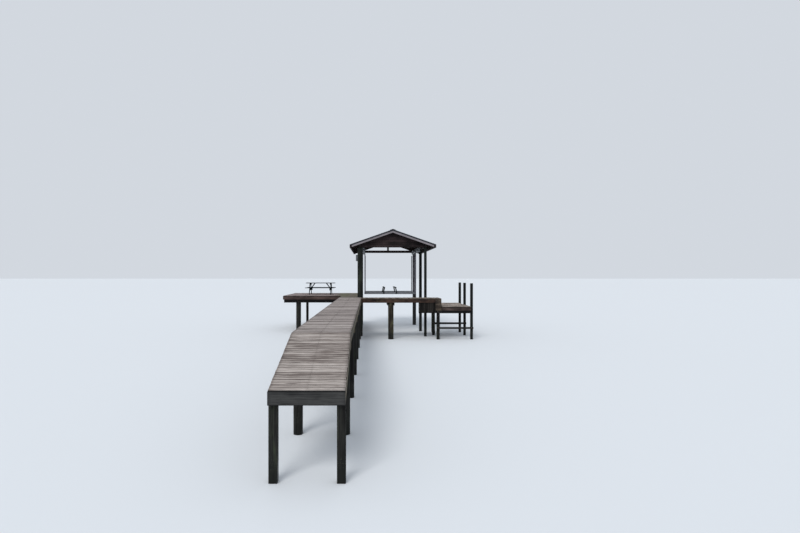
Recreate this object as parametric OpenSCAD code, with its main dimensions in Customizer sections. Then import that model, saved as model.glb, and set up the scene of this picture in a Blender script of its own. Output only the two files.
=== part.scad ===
// A wooden jetty on piles: a sloping shore ramp, a long plank walkway, a
// cross-walk in front of a roofed boat slip with a cable lift, a side
// platform with a picnic table and a lower boarding deck.
// Millimetres. +Y runs out along the walkway, +X to its right, +Z up, and
// z = 0 is the level of the pile feet.

/* [Levels] */
// Height of the main deck above the pile feet
deck_z = 2120; // [1600:10:3000]
// How much lower the shore end of the ramp lies
ramp_drop = 640; // [200:10:800]
// How much lower the boarding deck lies
lower_drop = 400; // [330:10:600]

/* [Walkway] */
// Width of the walkway
walk_w = 1220; // [1000:10:1600]
// Length of the sloping ramp
ramp_len = 2490; // [1500:10:4000]
// Distance from the shore end to the cross-walk
walk_len = 18400; // [16500:50:22000]
// Spacing of the walkway's pile bents
bent_pitch = 3180; // [2600:20:3200]
// Number of pile bents under the walkway
bent_count = 6; // [4:1:6]
// Distance of a walkway pile from the centre line
walk_pile_x = 490; // [420:5:500]

/* [Timber] */
// Thickness of the deck
deck_t = 38; // [25:1:60]
// Thickness of joists, rims, caps and braces
board_t = 38; // [30:1:60]
// Depth of the walkway and platform joists
joist_d = 184; // [140:1:240]
// Depth of the cross-walk and lower deck joists
light_d = 184; // [100:1:200]
// Depth of the beams clamped to the piles
cap_d = 140; // [100:1:200]
// Diameter of the heavy piles
heavy_pile_d = 290; // [220:5:320]
// Diameter of the walkway piles
walk_pile_d = 200; // [150:5:220]
// Diameter of the light piles and mooring posts
light_pile_d = 150; // [120:5:180]
// Diameter of the medium piles
medium_pile_d = 175; // [150:5:200]
// Side of the square posts at the shore end
shore_post = 140; // [90:5:180]
// Clearance beside round piles and between sloping faces
seat = 0.3; // [0.2:0.1:0.5]

/* [Cross-walk] */
// Width of the cross-walk
cross_w = 1350; // [1000:10:1800]
// Distance of its right end from the walkway's edge
cross_len = 4150; // [4000:10:4600]
// Distance of its middle pile from the walkway's edge
cross_pile = 1540; // [800:10:2600]
// Width of the boarded corner at its right end
corner_w = 310; // [200:10:500]
// Depth of the boarded corner
corner_d = 430; // [300:10:500]
// Width of the slatted skirt under its right end
skirt_w = 675; // [400:5:1200]
// Distance of the skirt from the right end
skirt_in = 500; // [300:5:700]
// Depth of the skirt below the deck's boards
skirt_d = 720; // [400:10:800]
// Thickness of the skirt's boards
skirt_t = 20; // [12:1:30]

/* [Platform] */
// Gap in the deck edge between the cross-walk and the platform
finger_len = 2300; // [1500:10:3500]
// Distance of the finger's right edge inside the walkway's edge
finger_inset = 225; // [150:5:260]
// Width of the platform
platform_w = 4435; // [3800:5:6000]
// Depth of the platform along the walkway
platform_len = 5050; // [4600:10:6500]
// Number of joists between the platform's side rims
platform_joists_n = 6; // [3:1:9]
// Distance of the outer platform piles from its left edge
platform_pile_in = 875; // [500:5:1200]
// Distance of the inner platform piles from its right edge
platform_pile_right = 685; // [400:10:900]
// Distance of the front beam from the platform's near edge
platform_beam_in = 330; // [250:10:600]
// Depth of the platform's beams
platform_beam_d = 184; // [140:1:240]

/* [Lower deck] */
// Width of the lower deck
lower_w = 1500; // [1000:5:2400]
// Length of the lower deck
lower_len = 3800; // [3300:10:4500]
// How far the lower deck starts before the cross-walk's near edge
lower_lead = 200; // [50:10:400]
// Distance of the inner piles from the deck's inner edge
lower_pile_in = 157; // [120:1:240]
// Distance from the first to the middle row of its piles
lower_row = 1900; // [1500:10:2300]
// Height of the mooring posts above the main deck
mooring_up = 790; // [400:10:1500]
// Height of the low braces above the pile feet
brace_z = 545; // [200:10:700]
// Depth of the low braces
brace_d = 100; // [90:1:180]

/* [Slip] */
// Distance between the two rows of slip posts
slip_w = 3560; // [3400:10:4200]
// Diameter of the rear right slip post
rear_post_d = 245; // [180:5:290]
// Distance from the front posts to the middle posts
front_bay = 2530; // [2200:10:3200]
// Distance from the middle posts to the rear posts
rear_bay = 4000; // [3600:10:4600]
// Height of the ridge above the deck
ridge_up = 3700; // [3500:10:4200]
// Height of the eave above the deck
eave_up = 2880; // [2800:10:3000]
// Distance of each eave outside its row of posts
eave_out = 565; // [400:5:700]
// Overhang of the roof before the front posts
gable_front = 310; // [250:10:600]
// Overhang of the roof behind the rear posts
gable_rear = 1600; // [800:10:1800]
// Thickness of the roof covering with its boards
roof_t = 30; // [20:1:50]
// Depth of the rafters
rafter_d = 140; // [100:1:180]
// Number of rafter bays between the front and rear posts
rafter_bays = 8; // [4:1:12]
// Depth of the tie beams
tie_d = 165; // [90:1:180]
// Width of the king posts
king_w = 120; // [80:1:160]
// Thickness of the gable boarding
infill_t = 20; // [12:1:30]

/* [Boat lift] */
// Distance of the front cradle beam behind the front posts
lift_front = 3350; // [2900:10:3600]
// Distance between the two cradle beams
lift_pitch = 2300; // [1800:10:2600]
// Gap between the cradle beams' ends and the heavy posts
lift_gap = 60; // [45:5:80]
// Height of the underside of the raised cradle above the deck
lift_up = 60; // [50:10:300]
// Depth of a cradle beam
beam_d = 130; // [80:5:140]
// Width of a cradle beam
beam_w = 80; // [60:5:120]
// Thickness of the flanges and web of a cradle beam
beam_t = 10; // [6:1:16]
// Distance between the feet of the two bunks
bunk_gap = 800; // [600:10:1200]
// Length of the bunks
bunk_len = 2700; // [2500:10:4200]
// Width of the bunks
bunk_w = 100; // [90:5:160]
// How far the bunk brackets lean in
bunk_lean = 55; // [0:5:80]
// Height of the bunk brackets above the beams
bunk_up = 240; // [150:10:400]
// Diameter of the guide poles
pole_d = 60; // [48:1:80]
// Height of the guide poles above the deck
pole_up = 2480; // [1800:10:2500]
// Diameter of the lifting cables
cable_d = 10; // [6:1:14]
// Diameter of the drive pipes
pipe_d = 60; // [48:1:80]
// Diameter of the cable drums
drum_d = 100; // [90:5:120]
// Length of the cable drums
drum_l = 160; // [100:10:240]

/* [Picnic table] */
// Length of the table top
table_l = 1840; // [1500:10:2200]
// Height of the table top
table_h = 740; // [680:5:780]
// Width of one table board
table_board = 140; // [120:1:150]
// Gap between the table boards
table_gap = 7; // [4:1:12]
// Height of the seats
seat_h = 440; // [400:5:480]
// Angle to which the table is turned
table_turn = 0; // [-15:1:15]
// Distance of the table's centre from the platform's left edge
table_in = 1970; // [1500:10:2500]
// Distance of the table's centre from the platform's near edge
table_back = 2750; // [1500:10:3300]

/* [Hidden] */
$fn = 32;

// Levels below the decks
walk_edge = walk_w / 2;
joist_top = deck_z - deck_t;
joist_bottom = joist_top - joist_d;
light_bottom = joist_top - light_d;
lower_z = deck_z - lower_drop;
lower_joist_top = lower_z - deck_t;
lower_joist_bottom = lower_joist_top - light_d;
ramp_z = deck_z - ramp_drop;
ramp_slope = ramp_drop / ramp_len;

// The plan, from the shore end and the walkway's centre line
cross_y0 = walk_len;
cross_y1 = walk_len + cross_w;
cross_x1 = walk_edge + cross_len;
cross_pile_x = walk_edge + cross_pile;
finger_x = walk_edge - finger_inset;
plat_y0 = cross_y1 + finger_len;
plat_y1 = plat_y0 + platform_len;
plat_x0 = finger_x - platform_w;
lower_x0 = cross_x1;
lower_x1 = cross_x1 + lower_w;
lower_y0 = cross_y0 - lower_lead;
lower_y1 = lower_y0 + lower_len;
bent_y0 = ramp_len + walk_pile_d / 2 + board_t + 20;
mooring_x = lower_x1 + seat + light_pile_d / 2;
lower_row_y0 = cross_y0 + seat + medium_pile_d / 2;
lower_row_y2 = lower_y1 - board_t - medium_pile_d / 2 - 10;
lower_reach = medium_pile_d / 2 + seat;

// The lower deck's inner piles: up to the cross-walk, up beside the deck, under
// its far corner. The mooring posts stand flush with their near sides.
inner_piles = [
    [lower_x0 - lower_pile_in, lower_row_y0, light_bottom],
    [lower_x0 - lower_pile_in, lower_row_y0 + lower_row, lower_z],
    [lower_x0, lower_row_y2, lower_joist_bottom]
];
mooring_ys = [for (p = inner_piles) p[1] - (medium_pile_d - light_pile_d) / 2];

// Heights of the low braces, which differ a little from row to row
brace_zs = [brace_z, brace_z + 75, brace_z - 70];

// The slip's posts and roof
post_xl = finger_x + seat + heavy_pile_d / 2;
post_xr = post_xl + slip_w;
slip_x = (post_xl + post_xr) / 2;
post_half = slip_w / 2;
front_y = cross_y1 + seat + heavy_pile_d / 2;
mid_y = front_y + front_bay;
rear_y = mid_y + rear_bay;
roof_half = post_half + eave_out;
roof_y0 = front_y - gable_front;
roof_y1 = rear_y + gable_rear;
ridge_z = deck_z + ridge_up;
eave_z = deck_z + eave_up;
roof_tan = (ridge_z - eave_z) / roof_half;
roof_cos = cos(atan(roof_tan));
roof_tv = roof_t / roof_cos;
rafter_tv = rafter_d / roof_cos;
beam_half = board_t;
rake_in = 20;
frame_y0 = roof_y0 + rake_in + board_t;
frame_y1 = roof_y1 - rake_in - board_t;
function roof_under(u) = ridge_z - roof_tan * u - roof_tv;
function frame_top(u) = roof_under(u) - seat;
function rafter_under(u) = frame_top(u) - rafter_tv;
eave_beam_top = rafter_under(post_half - beam_half);
eave_beam_bottom = eave_beam_top - joist_d;
ridge_board_top = frame_top(board_t / 2);
ridge_board_bottom = ridge_board_top - joist_d;
tie_ys = [front_y, rear_y];
rafter_pitch = (rear_y - front_y) / rafter_bays;
rear_gap = frame_y1 - board_t / 2 - rear_y;
rafter_ys = concat(
    [frame_y0 + board_t / 2],
    [for (i = [0 : rafter_bays]) front_y + i * rafter_pitch],
    [rear_y + rear_gap / 2, rear_y + rear_gap]
);

// The boat lift
lift_y = [front_y + lift_front, front_y + lift_front + lift_pitch];
beam_x0 = post_xl + heavy_pile_d / 2 + lift_gap;
beam_x1 = post_xr - heavy_pile_d / 2 - lift_gap;
beam_z0 = deck_z + lift_up;
beam_z1 = beam_z0 + beam_d;
eye_h = 50;
eye_w = 40;
eye_in = 40;
cable_xl = beam_x0 + eye_in;
cable_xr = beam_x1 - eye_in;
pipe_xl = cable_xl - drum_d / 2 - cable_d / 2 - seat;
pipe_xr = cable_xr + drum_d / 2 + cable_d / 2 + seat;
pipe_z = eave_beam_bottom - 78;
hanger_t = 12;
hanger_d = 110;
gear_l = 120;
winch_y = mid_y - heavy_pile_d / 2 - 20 - gear_l;
pole_offset = beam_w / 2 + 20 + pole_d / 2;
bunk_t = 60;

// The table
table_x = plat_x0 + table_in;
table_y = plat_y0 + table_back;
table_frame_x = table_l / 2 - 270;
seat_y = 470;

// The whole part's centre
part_x = (plat_x0 + mooring_x + light_pile_d / 2) / 2;
part_y = roof_y1 / 2;

// Moves the plan so that the origin is the middle of its footprint
module site() {
    translate([-part_x, -part_y, 0]) children();
}

// A plain board between two corners
module board(x0, x1, y0, y1, z0, z1) {
    translate([x0, y0, z0]) cube([x1 - x0, y1 - y0, z1 - z0]);
}

// A round pile with its foot at z = 0
module pile(x, y, d, top) {
    translate([x, y, 0]) cylinder(d = d, h = top);
}

// A profile in the Y and Z plane, drawn out along X
module yz_prism(x0, width, points) {
    translate([x0, 0, 0]) rotate([90, 0, 90]) linear_extrude(width) polygon(points);
}

// A profile in the X and Z plane, drawn out along Y
module xz_prism(y0, width, points) {
    translate([0, y0 + width, 0]) rotate([90, 0, 0]) linear_extrude(width) polygon(points);
}

// Underside of the ramp's boards, and the top of what carries them
function ramp_under(y) = ramp_z + ramp_slope * y - deck_t;
function ramp_seat(y) = ramp_under(y) - seat;

module ramp_deck() {
    color("#9a9087") site() yz_prism(-walk_edge, walk_w, [
        [0, ramp_z], [0, ramp_under(0)],
        [ramp_len, joist_top], [ramp_len, deck_z]
    ]);
}

module ramp_stringers() {
    color("#4f463f") site()
        for (x = [-walk_edge, -board_t / 2, walk_edge - board_t])
            yz_prism(x, board_t, [
                [board_t, ramp_seat(board_t)],
                [board_t, ramp_seat(board_t) - joist_d],
                [ramp_len, joist_bottom - seat], [ramp_len, joist_top - seat]
            ]);
}

module shore_header() {
    color("#3c3a38") site() yz_prism(-walk_edge, walk_w, [
        [0, ramp_seat(0)], [0, ramp_seat(0) - joist_d],
        [board_t, ramp_seat(0) - joist_d], [board_t, ramp_seat(board_t)]
    ]);
}

module shore_posts() {
    y0 = board_t + 60;
    y1 = y0 + shore_post;
    color("#453d36") site()
        for (x = [-walk_edge, walk_edge - shore_post])
            yz_prism(x, shore_post, [
                [y0, 0], [y1, 0],
                [y1, ramp_seat(y1) - joist_d - seat],
                [y0, ramp_seat(y0) - joist_d - seat]
            ]);
}

module walkway_deck() {
    color("#958c84") site() deck_slab([
        [-walk_edge, ramp_len], [walk_edge, ramp_len],
        [walk_edge, cross_y1], [finger_x, cross_y1],
        [finger_x, plat_y0], [-walk_edge, plat_y0]
    ], joist_top);
}

// A deck slab of the given outline, on joists whose top is at z
module deck_slab(points, z) {
    translate([0, 0, z]) linear_extrude(deck_t) polygon(points);
}

module walkway_stringers() {
    color("#4f463f") site() {
        for (x = [-walk_edge, -board_t / 2])
            board(x, x + board_t, ramp_len, plat_y0, joist_bottom, joist_top);
        board(walk_edge - board_t, walk_edge, ramp_len, cross_y1,
              joist_bottom, joist_top);
        board(finger_x - board_t, finger_x, cross_y1, plat_y0,
              joist_bottom, joist_top);
    }
}

module walkway_caps() {
    offset_y = walk_pile_d / 2 + seat;
    color("#3a332d") site()
        for (i = [0 : bent_count - 1], side = [-1, 1]) {
            y = bent_y0 + i * bent_pitch;
            y0 = side > 0 ? y + offset_y : y - offset_y - board_t;
            board(-walk_edge, walk_edge, y0, y0 + board_t,
                  joist_bottom - cap_d, joist_bottom);
        }
}

module walkway_piles() {
    color("#2f2a25") site()
        for (i = [0 : bent_count - 1], x = [-walk_pile_x, walk_pile_x])
            pile(x, bent_y0 + i * bent_pitch, walk_pile_d, joist_bottom);
}

module crosswalk_deck() {
    color("#6e6455") site()
        board(walk_edge, cross_x1, cross_y0, cross_y1, joist_top, deck_z);
}

module crosswalk_joists() {
    middle = (cross_y0 + cross_y1) / 2;
    color("#4a3b32") site() {
        for (y = [cross_y0, middle - board_t / 2, cross_y1 - board_t])
            board(walk_edge, cross_x1 - board_t, y, y + board_t,
                  light_bottom, joist_top);
        board(cross_x1 - board_t, cross_x1, cross_y0, cross_y1,
              light_bottom, joist_top);
    }
}

module crosswalk_cap() {
    reach = heavy_pile_d / 2 + seat;
    color("#453a30") site()
        for (x = [cross_pile_x - reach - board_t, cross_pile_x + reach])
            board(x, x + board_t, cross_y0, cross_y1,
                  light_bottom - cap_d, light_bottom);
}

module crosswalk_pile() {
    color("#332e27") site()
        pile(cross_pile_x, cross_y0 + board_t + heavy_pile_d / 2,
             heavy_pile_d, light_bottom);
}

// The boarded corner, and the slatted skirt with its batten behind the near joist
module crosswalk_corner() {
    skirt_x1 = cross_x1 - skirt_in;
    skirt_x0 = skirt_x1 - skirt_w;
    skirt_y0 = cross_y0 + board_t;
    skirt_y1 = skirt_y0 + skirt_t;
    skirt_bottom = joist_top - skirt_d;
    batten_w = 89;
    batten_z = skirt_bottom + 60;
    color("#5c4c3c") site() {
        board(cross_x1 - corner_w, cross_x1, cross_y0 - board_t, cross_y0,
              joist_top - corner_d, joist_top);
        board(skirt_x0, skirt_x1, skirt_y0, skirt_y1, skirt_bottom, joist_top);
        board(skirt_x0, skirt_x1, skirt_y1, skirt_y1 + board_t,
              batten_z, batten_z + batten_w);
    }
}

module platform_deck() {
    color("#85766c") site()
        board(plat_x0, finger_x, plat_y0, plat_y1, joist_top, deck_z);
}

module platform_rim() {
    color("#4b3430") site()
        difference() {
            board(plat_x0, finger_x, plat_y0, plat_y1, joist_bottom, joist_top);
            board(plat_x0 + board_t, finger_x - board_t,
                  plat_y0 + board_t, plat_y1 - board_t,
                  joist_bottom - 1, joist_top + 1);
        }
}

module platform_joists() {
    pitch = (platform_w - board_t) / (platform_joists_n + 1);
    color("#3d302b") site()
        for (i = [1 : platform_joists_n])
            board(plat_x0 + i * pitch, plat_x0 + i * pitch + board_t,
                  plat_y0 + board_t, plat_y1 - board_t,
                  joist_bottom, joist_top);
}

// Rows of platform piles: distance along Y and diameter
platform_rows = [
    [plat_y0 + platform_beam_in, heavy_pile_d],
    [plat_y1 - platform_beam_in, medium_pile_d]
];

module platform_beams() {
    color("#231d1a") site()
        for (row = platform_rows, side = [-1, 1]) {
            reach = row[1] / 2 + seat;
            y0 = side > 0 ? row[0] + reach : row[0] - reach - board_t;
            board(plat_x0 + board_t, finger_x, y0, y0 + board_t,
                  joist_bottom - platform_beam_d, joist_bottom);
        }
}

module platform_piles() {
    color("#26211e") site()
        for (row = platform_rows,
             x = [plat_x0 + platform_pile_in, finger_x - platform_pile_right])
            pile(x, row[0], row[1], joist_bottom);
}

module lower_deck() {
    color("#97867c") site()
        board(lower_x0, lower_x1, lower_y0, lower_y1, lower_joist_top, lower_z);
}

module lower_rim() {
    color("#4a3c35") site() {
        for (y = [lower_y0, lower_y1 - board_t])
            board(lower_x0, lower_x1, y, y + board_t,
                  lower_joist_bottom, lower_joist_top);
        for (x = [lower_x0, (lower_x0 + lower_x1 - board_t) / 2, lower_x1 - board_t])
            board(x, x + board_t, lower_y0 + board_t, lower_y1 - board_t,
                  lower_joist_bottom, lower_joist_top);
    }
}

module lower_beams() {
    color("#2b2420") site()
        for (p = inner_piles, side = [-1, 1]) {
            y0 = side > 0 ? p[1] + lower_reach : p[1] - lower_reach - board_t;
            board(p[0] - lower_reach, lower_x1, y0, y0 + board_t,
                  lower_joist_bottom - cap_d, lower_joist_bottom);
        }
}

module lower_piles() {
    color("#2c2823") site()
        for (p = inner_piles)
            pile(p[0], p[1], medium_pile_d, p[2]);
}

module mooring_posts() {
    color("#211e1c") site()
        for (y = mooring_ys)
            pile(mooring_x, y, light_pile_d, deck_z + mooring_up);
}

module lower_braces() {
    color("#2a2522") site()
        for (i = [0 : 2]) {
            y1 = inner_piles[i][1] - lower_reach;
            board(inner_piles[i][0] - medium_pile_d / 2, mooring_x + light_pile_d / 2,
                  y1 - board_t, y1, brace_zs[i], brace_zs[i] + brace_d);
        }
}

module slip_posts_left() {
    color("#2d2c26") site()
        for (row = [[front_y, heavy_pile_d], [mid_y, walk_pile_d], [rear_y, walk_pile_d]])
            pile(post_xl, row[0], row[1], eave_beam_bottom);
}

module slip_posts_right() {
    rows = [
        [cross_y1 + seat + light_pile_d / 2, light_pile_d],
        [mid_y, medium_pile_d],
        [rear_y, rear_post_d]
    ];
    color("#26241f") site()
        for (row = rows)
            pile(post_xr, row[0], row[1], eave_beam_bottom);
}

module eave_beams() {
    color("#352b27") site()
        for (x = [post_xl, post_xr])
            board(x - beam_half, x + beam_half, frame_y0, frame_y1,
                  eave_beam_bottom, eave_beam_top);
}

module tie_beams() {
    color("#241f1d") site()
        for (y = tie_ys)
            board(post_xl + beam_half, post_xr - beam_half,
                  y - board_t / 2, y + board_t / 2,
                  eave_beam_bottom, eave_beam_bottom + tie_d);
}

module king_posts() {
    color("#241f1d") site()
        for (y = tie_ys)
            board(slip_x - king_w / 2, slip_x + king_w / 2,
                  y - board_t / 2, y + board_t / 2,
                  eave_beam_bottom + tie_d, ridge_board_bottom);
}

// One rafter from the ridge board to the fascia, notched over the eave beam
module rafter(side) {
    u0 = board_t / 2;
    u_in = post_half - beam_half;
    u_out = post_half + beam_half;
    u1 = roof_half - board_t;
    points = [
        [u0, frame_top(u0)], [u0, rafter_under(u0)],
        [u_in, eave_beam_top], [u_out, eave_beam_top],
        [u_out, rafter_under(u_out)],
        [u1, rafter_under(u1)], [u1, frame_top(u1)]
    ];
    xz_prism(-board_t / 2, board_t, [for (p = points) [side * p[0], p[1]]]);
}

module rafters() {
    color("#3a302c") site()
        for (y = rafter_ys, side = [-1, 1])
            translate([slip_x, y, 0]) rafter(side);
}

module ridge_board() {
    color("#3a302c") site()
        board(slip_x - board_t / 2, slip_x + board_t / 2, frame_y0, frame_y1,
              ridge_board_bottom, ridge_board_top);
}

// Boarding that closes the front gable above its tie beam
module gable_boards() {
    u_beam = post_half - beam_half;
    u_low = (frame_top(0) - eave_beam_top) / roof_tan;
    u_top = (frame_top(0) - ridge_board_bottom) / roof_tan;
    half = [
        [u_beam, eave_beam_bottom + board_t / 2], [u_beam, eave_beam_top],
        [u_low, eave_beam_top], [u_top, ridge_board_bottom]
    ];
    outline = concat(
        half,
        [for (i = [3 : -1 : 0]) [-half[i][0], half[i][1]]]
    );
    color("#43342f") site()
        translate([slip_x, 0, 0])
            xz_prism(front_y - board_t / 2 - infill_t, infill_t, outline);
}

// One slope of the roof covering
module roof_slope(side) {
    points = [
        [0, ridge_z], [roof_half, eave_z],
        [roof_half, eave_z - roof_tv], [0, ridge_z - roof_tv]
    ];
    translate([slip_x, 0, 0])
        xz_prism(roof_y0, roof_y1 - roof_y0, [for (p = points) [side * p[0], p[1]]]);
}

module roof_left() {
    color("#3b3d42") site() roof_slope(-1);
}

module roof_right() {
    color("#3b3d42") site() roof_slope(1);
}

module ridge_cap() {
    cap_half = 150;
    cap_t = 24;
    cap_edge = ridge_z + seat - roof_tan * cap_half;
    outline = [
        [0, ridge_z + seat], [cap_half, cap_edge],
        [cap_half, cap_edge + cap_t / 2],
        [0, ridge_z + cap_t],
        [-cap_half, cap_edge + cap_t / 2],
        [-cap_half, cap_edge]
    ];
    color("#33353a") site()
        translate([slip_x, 0, 0])
            xz_prism(roof_y0, roof_y1 - roof_y0, outline);
}

// The pair of sloping boards along each gable edge
module rake_boards() {
    outline = [
        [0, frame_top(0)], [roof_half, frame_top(roof_half)],
        [roof_half, rafter_under(roof_half)], [0, rafter_under(0)],
        [-roof_half, rafter_under(roof_half)], [-roof_half, frame_top(roof_half)]
    ];
    color("#8b7a78") site()
        for (y = [roof_y0 + rake_in, frame_y1])
            translate([slip_x, 0, 0]) xz_prism(y, board_t, outline);
}

module eave_fascias() {
    u0 = roof_half - board_t;
    outline = [
        [u0, frame_top(u0)], [roof_half, frame_top(roof_half)],
        [roof_half, rafter_under(roof_half)], [u0, rafter_under(roof_half)]
    ];
    color("#7d6d6b") site()
        for (side = [-1, 1])
            translate([slip_x, 0, 0])
                xz_prism(frame_y0, frame_y1 - frame_y0,
                         [for (p = outline) [side * p[0], p[1]]]);
}

// The electrical box high on the front left post
module switch_box() {
    box_w = 90;
    box_deep = 120;
    box_h = 340;
    box_z = deck_z + 1980;
    x1 = post_xl - heavy_pile_d / 2 - seat;
    color("#5a5c5e") site()
        board(x1 - box_w, x1, front_y - box_deep / 2, front_y + box_deep / 2,
              box_z, box_z + box_h);
}

// Bearing plates that hang the drive pipes from the eave beams
module lift_hangers() {
    ys = [winch_y + gear_l + hanger_t / 2,
          lift_y[0] - drum_l, lift_y[0] + drum_l,
          lift_y[1] - drum_l, lift_y[1] + drum_l];
    color("#8d9092") site()
        for (y = ys, side = [-1, 1]) {
            pipe_x = side < 0 ? pipe_xl : pipe_xr;
            post_x = side < 0 ? post_xl + beam_half : post_xr - beam_half;
            x0 = side < 0 ? post_x : pipe_x - pipe_d / 2 - 20;
            x1 = side < 0 ? pipe_x + pipe_d / 2 + 20 : post_x;
            difference() {
                board(x0, x1, y - hanger_t / 2, y + hanger_t / 2,
                      pipe_z - hanger_d / 2, eave_beam_bottom + hanger_d);
                translate([pipe_x, y + hanger_t, pipe_z]) rotate([90, 0, 0])
                    cylinder(d = pipe_d + 2 * seat, h = 2 * hanger_t);
            }
        }
}

module drive_pipes() {
    color("#9a9c9e") site()
        for (x = [pipe_xl, pipe_xr]) {
            translate([x, lift_y[1] + drum_l + 60, pipe_z]) rotate([90, 0, 0])
                cylinder(d = pipe_d, h = lift_y[1] + drum_l + 60 - winch_y - gear_l);
            for (y = lift_y)
                translate([x, y + drum_l / 2, pipe_z]) rotate([90, 0, 0])
                    cylinder(d = drum_d, h = drum_l);
        }
}

// A gear housing and motor on the front end of each drive pipe
module winches() {
    gear_w = 120;
    gear_h = 170;
    motor_d = 130;
    motor_l = 200;
    color("#b4b2b0") site()
        for (x = [pipe_xl, pipe_xr]) {
            board(x - gear_w / 2, x + gear_w / 2, winch_y, winch_y + gear_l,
                  pipe_z - gear_h / 2, pipe_z + gear_h / 2 - 20);
            translate([x, winch_y, pipe_z - 10]) rotate([90, 0, 0])
                cylinder(d = motor_d, h = motor_l);
        }
}

// An I-shaped beam along X
module cradle_beam(y) {
    outline = [
        [-beam_w / 2, 0], [beam_w / 2, 0], [beam_w / 2, beam_t],
        [beam_t / 2, beam_t], [beam_t / 2, beam_d - beam_t],
        [beam_w / 2, beam_d - beam_t], [beam_w / 2, beam_d],
        [-beam_w / 2, beam_d], [-beam_w / 2, beam_d - beam_t],
        [-beam_t / 2, beam_d - beam_t], [-beam_t / 2, beam_t],
        [-beam_w / 2, beam_t]
    ];
    translate([0, y, beam_z0]) yz_prism(beam_x0, beam_x1 - beam_x0, outline);
    for (x = [cable_xl, cable_xr])
        board(x - eye_w / 2, x + eye_w / 2, y - eye_w / 2, y + eye_w / 2,
              beam_z1, beam_z1 + eye_h);
}

module cradle_beams() {
    color("#77767f") site()
        for (y = lift_y) cradle_beam(y);
}

// Each bracket leans in to the middle of the slip
module bunk_brackets() {
    stem_w = 70;
    stem_l = 90;
    color("#2b3034") site()
        for (y = lift_y, side = [-1, 1])
            translate([slip_x + side * bunk_gap / 2, 0, beam_z1])
                xz_prism(y - stem_l / 2, stem_l, [
                    [-stem_w / 2, 0], [stem_w / 2, 0],
                    [stem_w / 2 - side * bunk_lean, bunk_up],
                    [-stem_w / 2 - side * bunk_lean, bunk_up]
                ]);
}

module bunks() {
    middle = (lift_y[0] + lift_y[1]) / 2;
    color("#23282b") site()
        for (side = [-1, 1])
            translate([slip_x + side * (bunk_gap / 2 - bunk_lean), middle,
                       beam_z1 + bunk_up])
                translate([-bunk_w / 2, -bunk_len / 2, 0])
                    cube([bunk_w, bunk_len, bunk_t]);
}

// Upright poles at the beam ends, each on a bracket beside its beam
module guide_poles() {
    foot_t = 8;
    color("#a7a3ad") site()
        for (i = [0, 1], x = [cable_xl, cable_xr]) {
            out = i == 0 ? -1 : 1;
            y = lift_y[i] + out * pole_offset;
            translate([x, y, beam_z0])
                cylinder(d = pole_d, h = deck_z + pole_up - beam_z0);
            board(x - pole_d / 2, x + pole_d / 2,
                  min(y, lift_y[i] + out * beam_w / 2),
                  max(y, lift_y[i] + out * beam_w / 2),
                  beam_z0, beam_z0 + foot_t);
        }
}

// Each cable hangs from the inner side of its drum to the eye on its beam
module lift_cables() {
    color("#55585c") site()
        for (y = lift_y, x = [cable_xl, cable_xr])
            translate([x, y, beam_z1 + eye_h])
                cylinder(d = cable_d, h = pipe_z - beam_z1 - eye_h, $fn = 16);
}

// Places the table's own frame on the platform
module at_table() {
    site() translate([table_x, table_y, deck_z]) rotate([0, 0, table_turn]) children();
}

module table_boards() {
    pitch = table_board + table_gap;
    top_z = table_h - board_t;
    seat_z = seat_h - board_t;
    color("#3b4044") at_table() {
        for (i = [-2 : 2])
            board(-table_l / 2, table_l / 2,
                  i * pitch - table_board / 2, i * pitch + table_board / 2,
                  top_z, table_h);
        for (side = [-1, 1], i = [0, 1]) {
            y0 = side > 0 ? seat_y + i * pitch : -seat_y - i * pitch - table_board;
            board(-table_l / 2, table_l / 2, y0, y0 + table_board, seat_z, seat_h);
        }
    }
}

module table_frames() {
    top_z = table_h - board_t;
    seat_z = seat_h - board_t;
    pitch = table_board + table_gap;
    reach = seat_y + pitch + table_board;
    foot = reach - 60;
    head = 2 * pitch - 90;
    leg_w = 150;
    color("#33383b") at_table()
        for (end = [-1, 1]) {
            x_leg = end > 0 ? table_frame_x : -table_frame_x - board_t;
            x_beam = end > 0 ? table_frame_x - board_t : -table_frame_x;
            for (side = [-1, 1])
                yz_prism(x_leg, board_t, [
                    [side * foot, 0], [side * (foot - leg_w), 0],
                    [side * (head - leg_w / 2), top_z], [side * (head + leg_w / 2), top_z]
                ]);
            board(x_beam, x_beam + board_t, -reach, reach,
                  seat_z - table_board, seat_z);
            board(x_beam, x_beam + board_t, -2 * pitch, 2 * pitch,
                  top_z - 90, top_z);
            brace_x = table_frame_x - board_t;
            xz_prism(-board_t / 2, board_t, [
                [end * brace_x, seat_z - 60], [end * brace_x, seat_z + 30],
                [end * (brace_x - 200), top_z], [end * (brace_x - 280), top_z]
            ]);
        }
}

ramp_deck();
ramp_stringers();
shore_header();
shore_posts();
walkway_deck();
walkway_stringers();
walkway_caps();
walkway_piles();
crosswalk_deck();
crosswalk_joists();
crosswalk_cap();
crosswalk_pile();
crosswalk_corner();
platform_deck();
platform_rim();
platform_joists();
platform_beams();
platform_piles();
lower_deck();
lower_rim();
lower_beams();
lower_piles();
mooring_posts();
lower_braces();
slip_posts_left();
slip_posts_right();
eave_beams();
tie_beams();
king_posts();
rafters();
ridge_board();
gable_boards();
roof_left();
roof_right();
ridge_cap();
rake_boards();
eave_fascias();
switch_box();
lift_hangers();
drive_pipes();
winches();
cradle_beams();
bunk_brackets();
bunks();
guide_poles();
lift_cables();
table_boards();
table_frames();
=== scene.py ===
import random
from math import ceil, cos, exp, pi, radians, sin

import bmesh
import bpy
from mathutils import Matrix, Vector, noise


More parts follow.
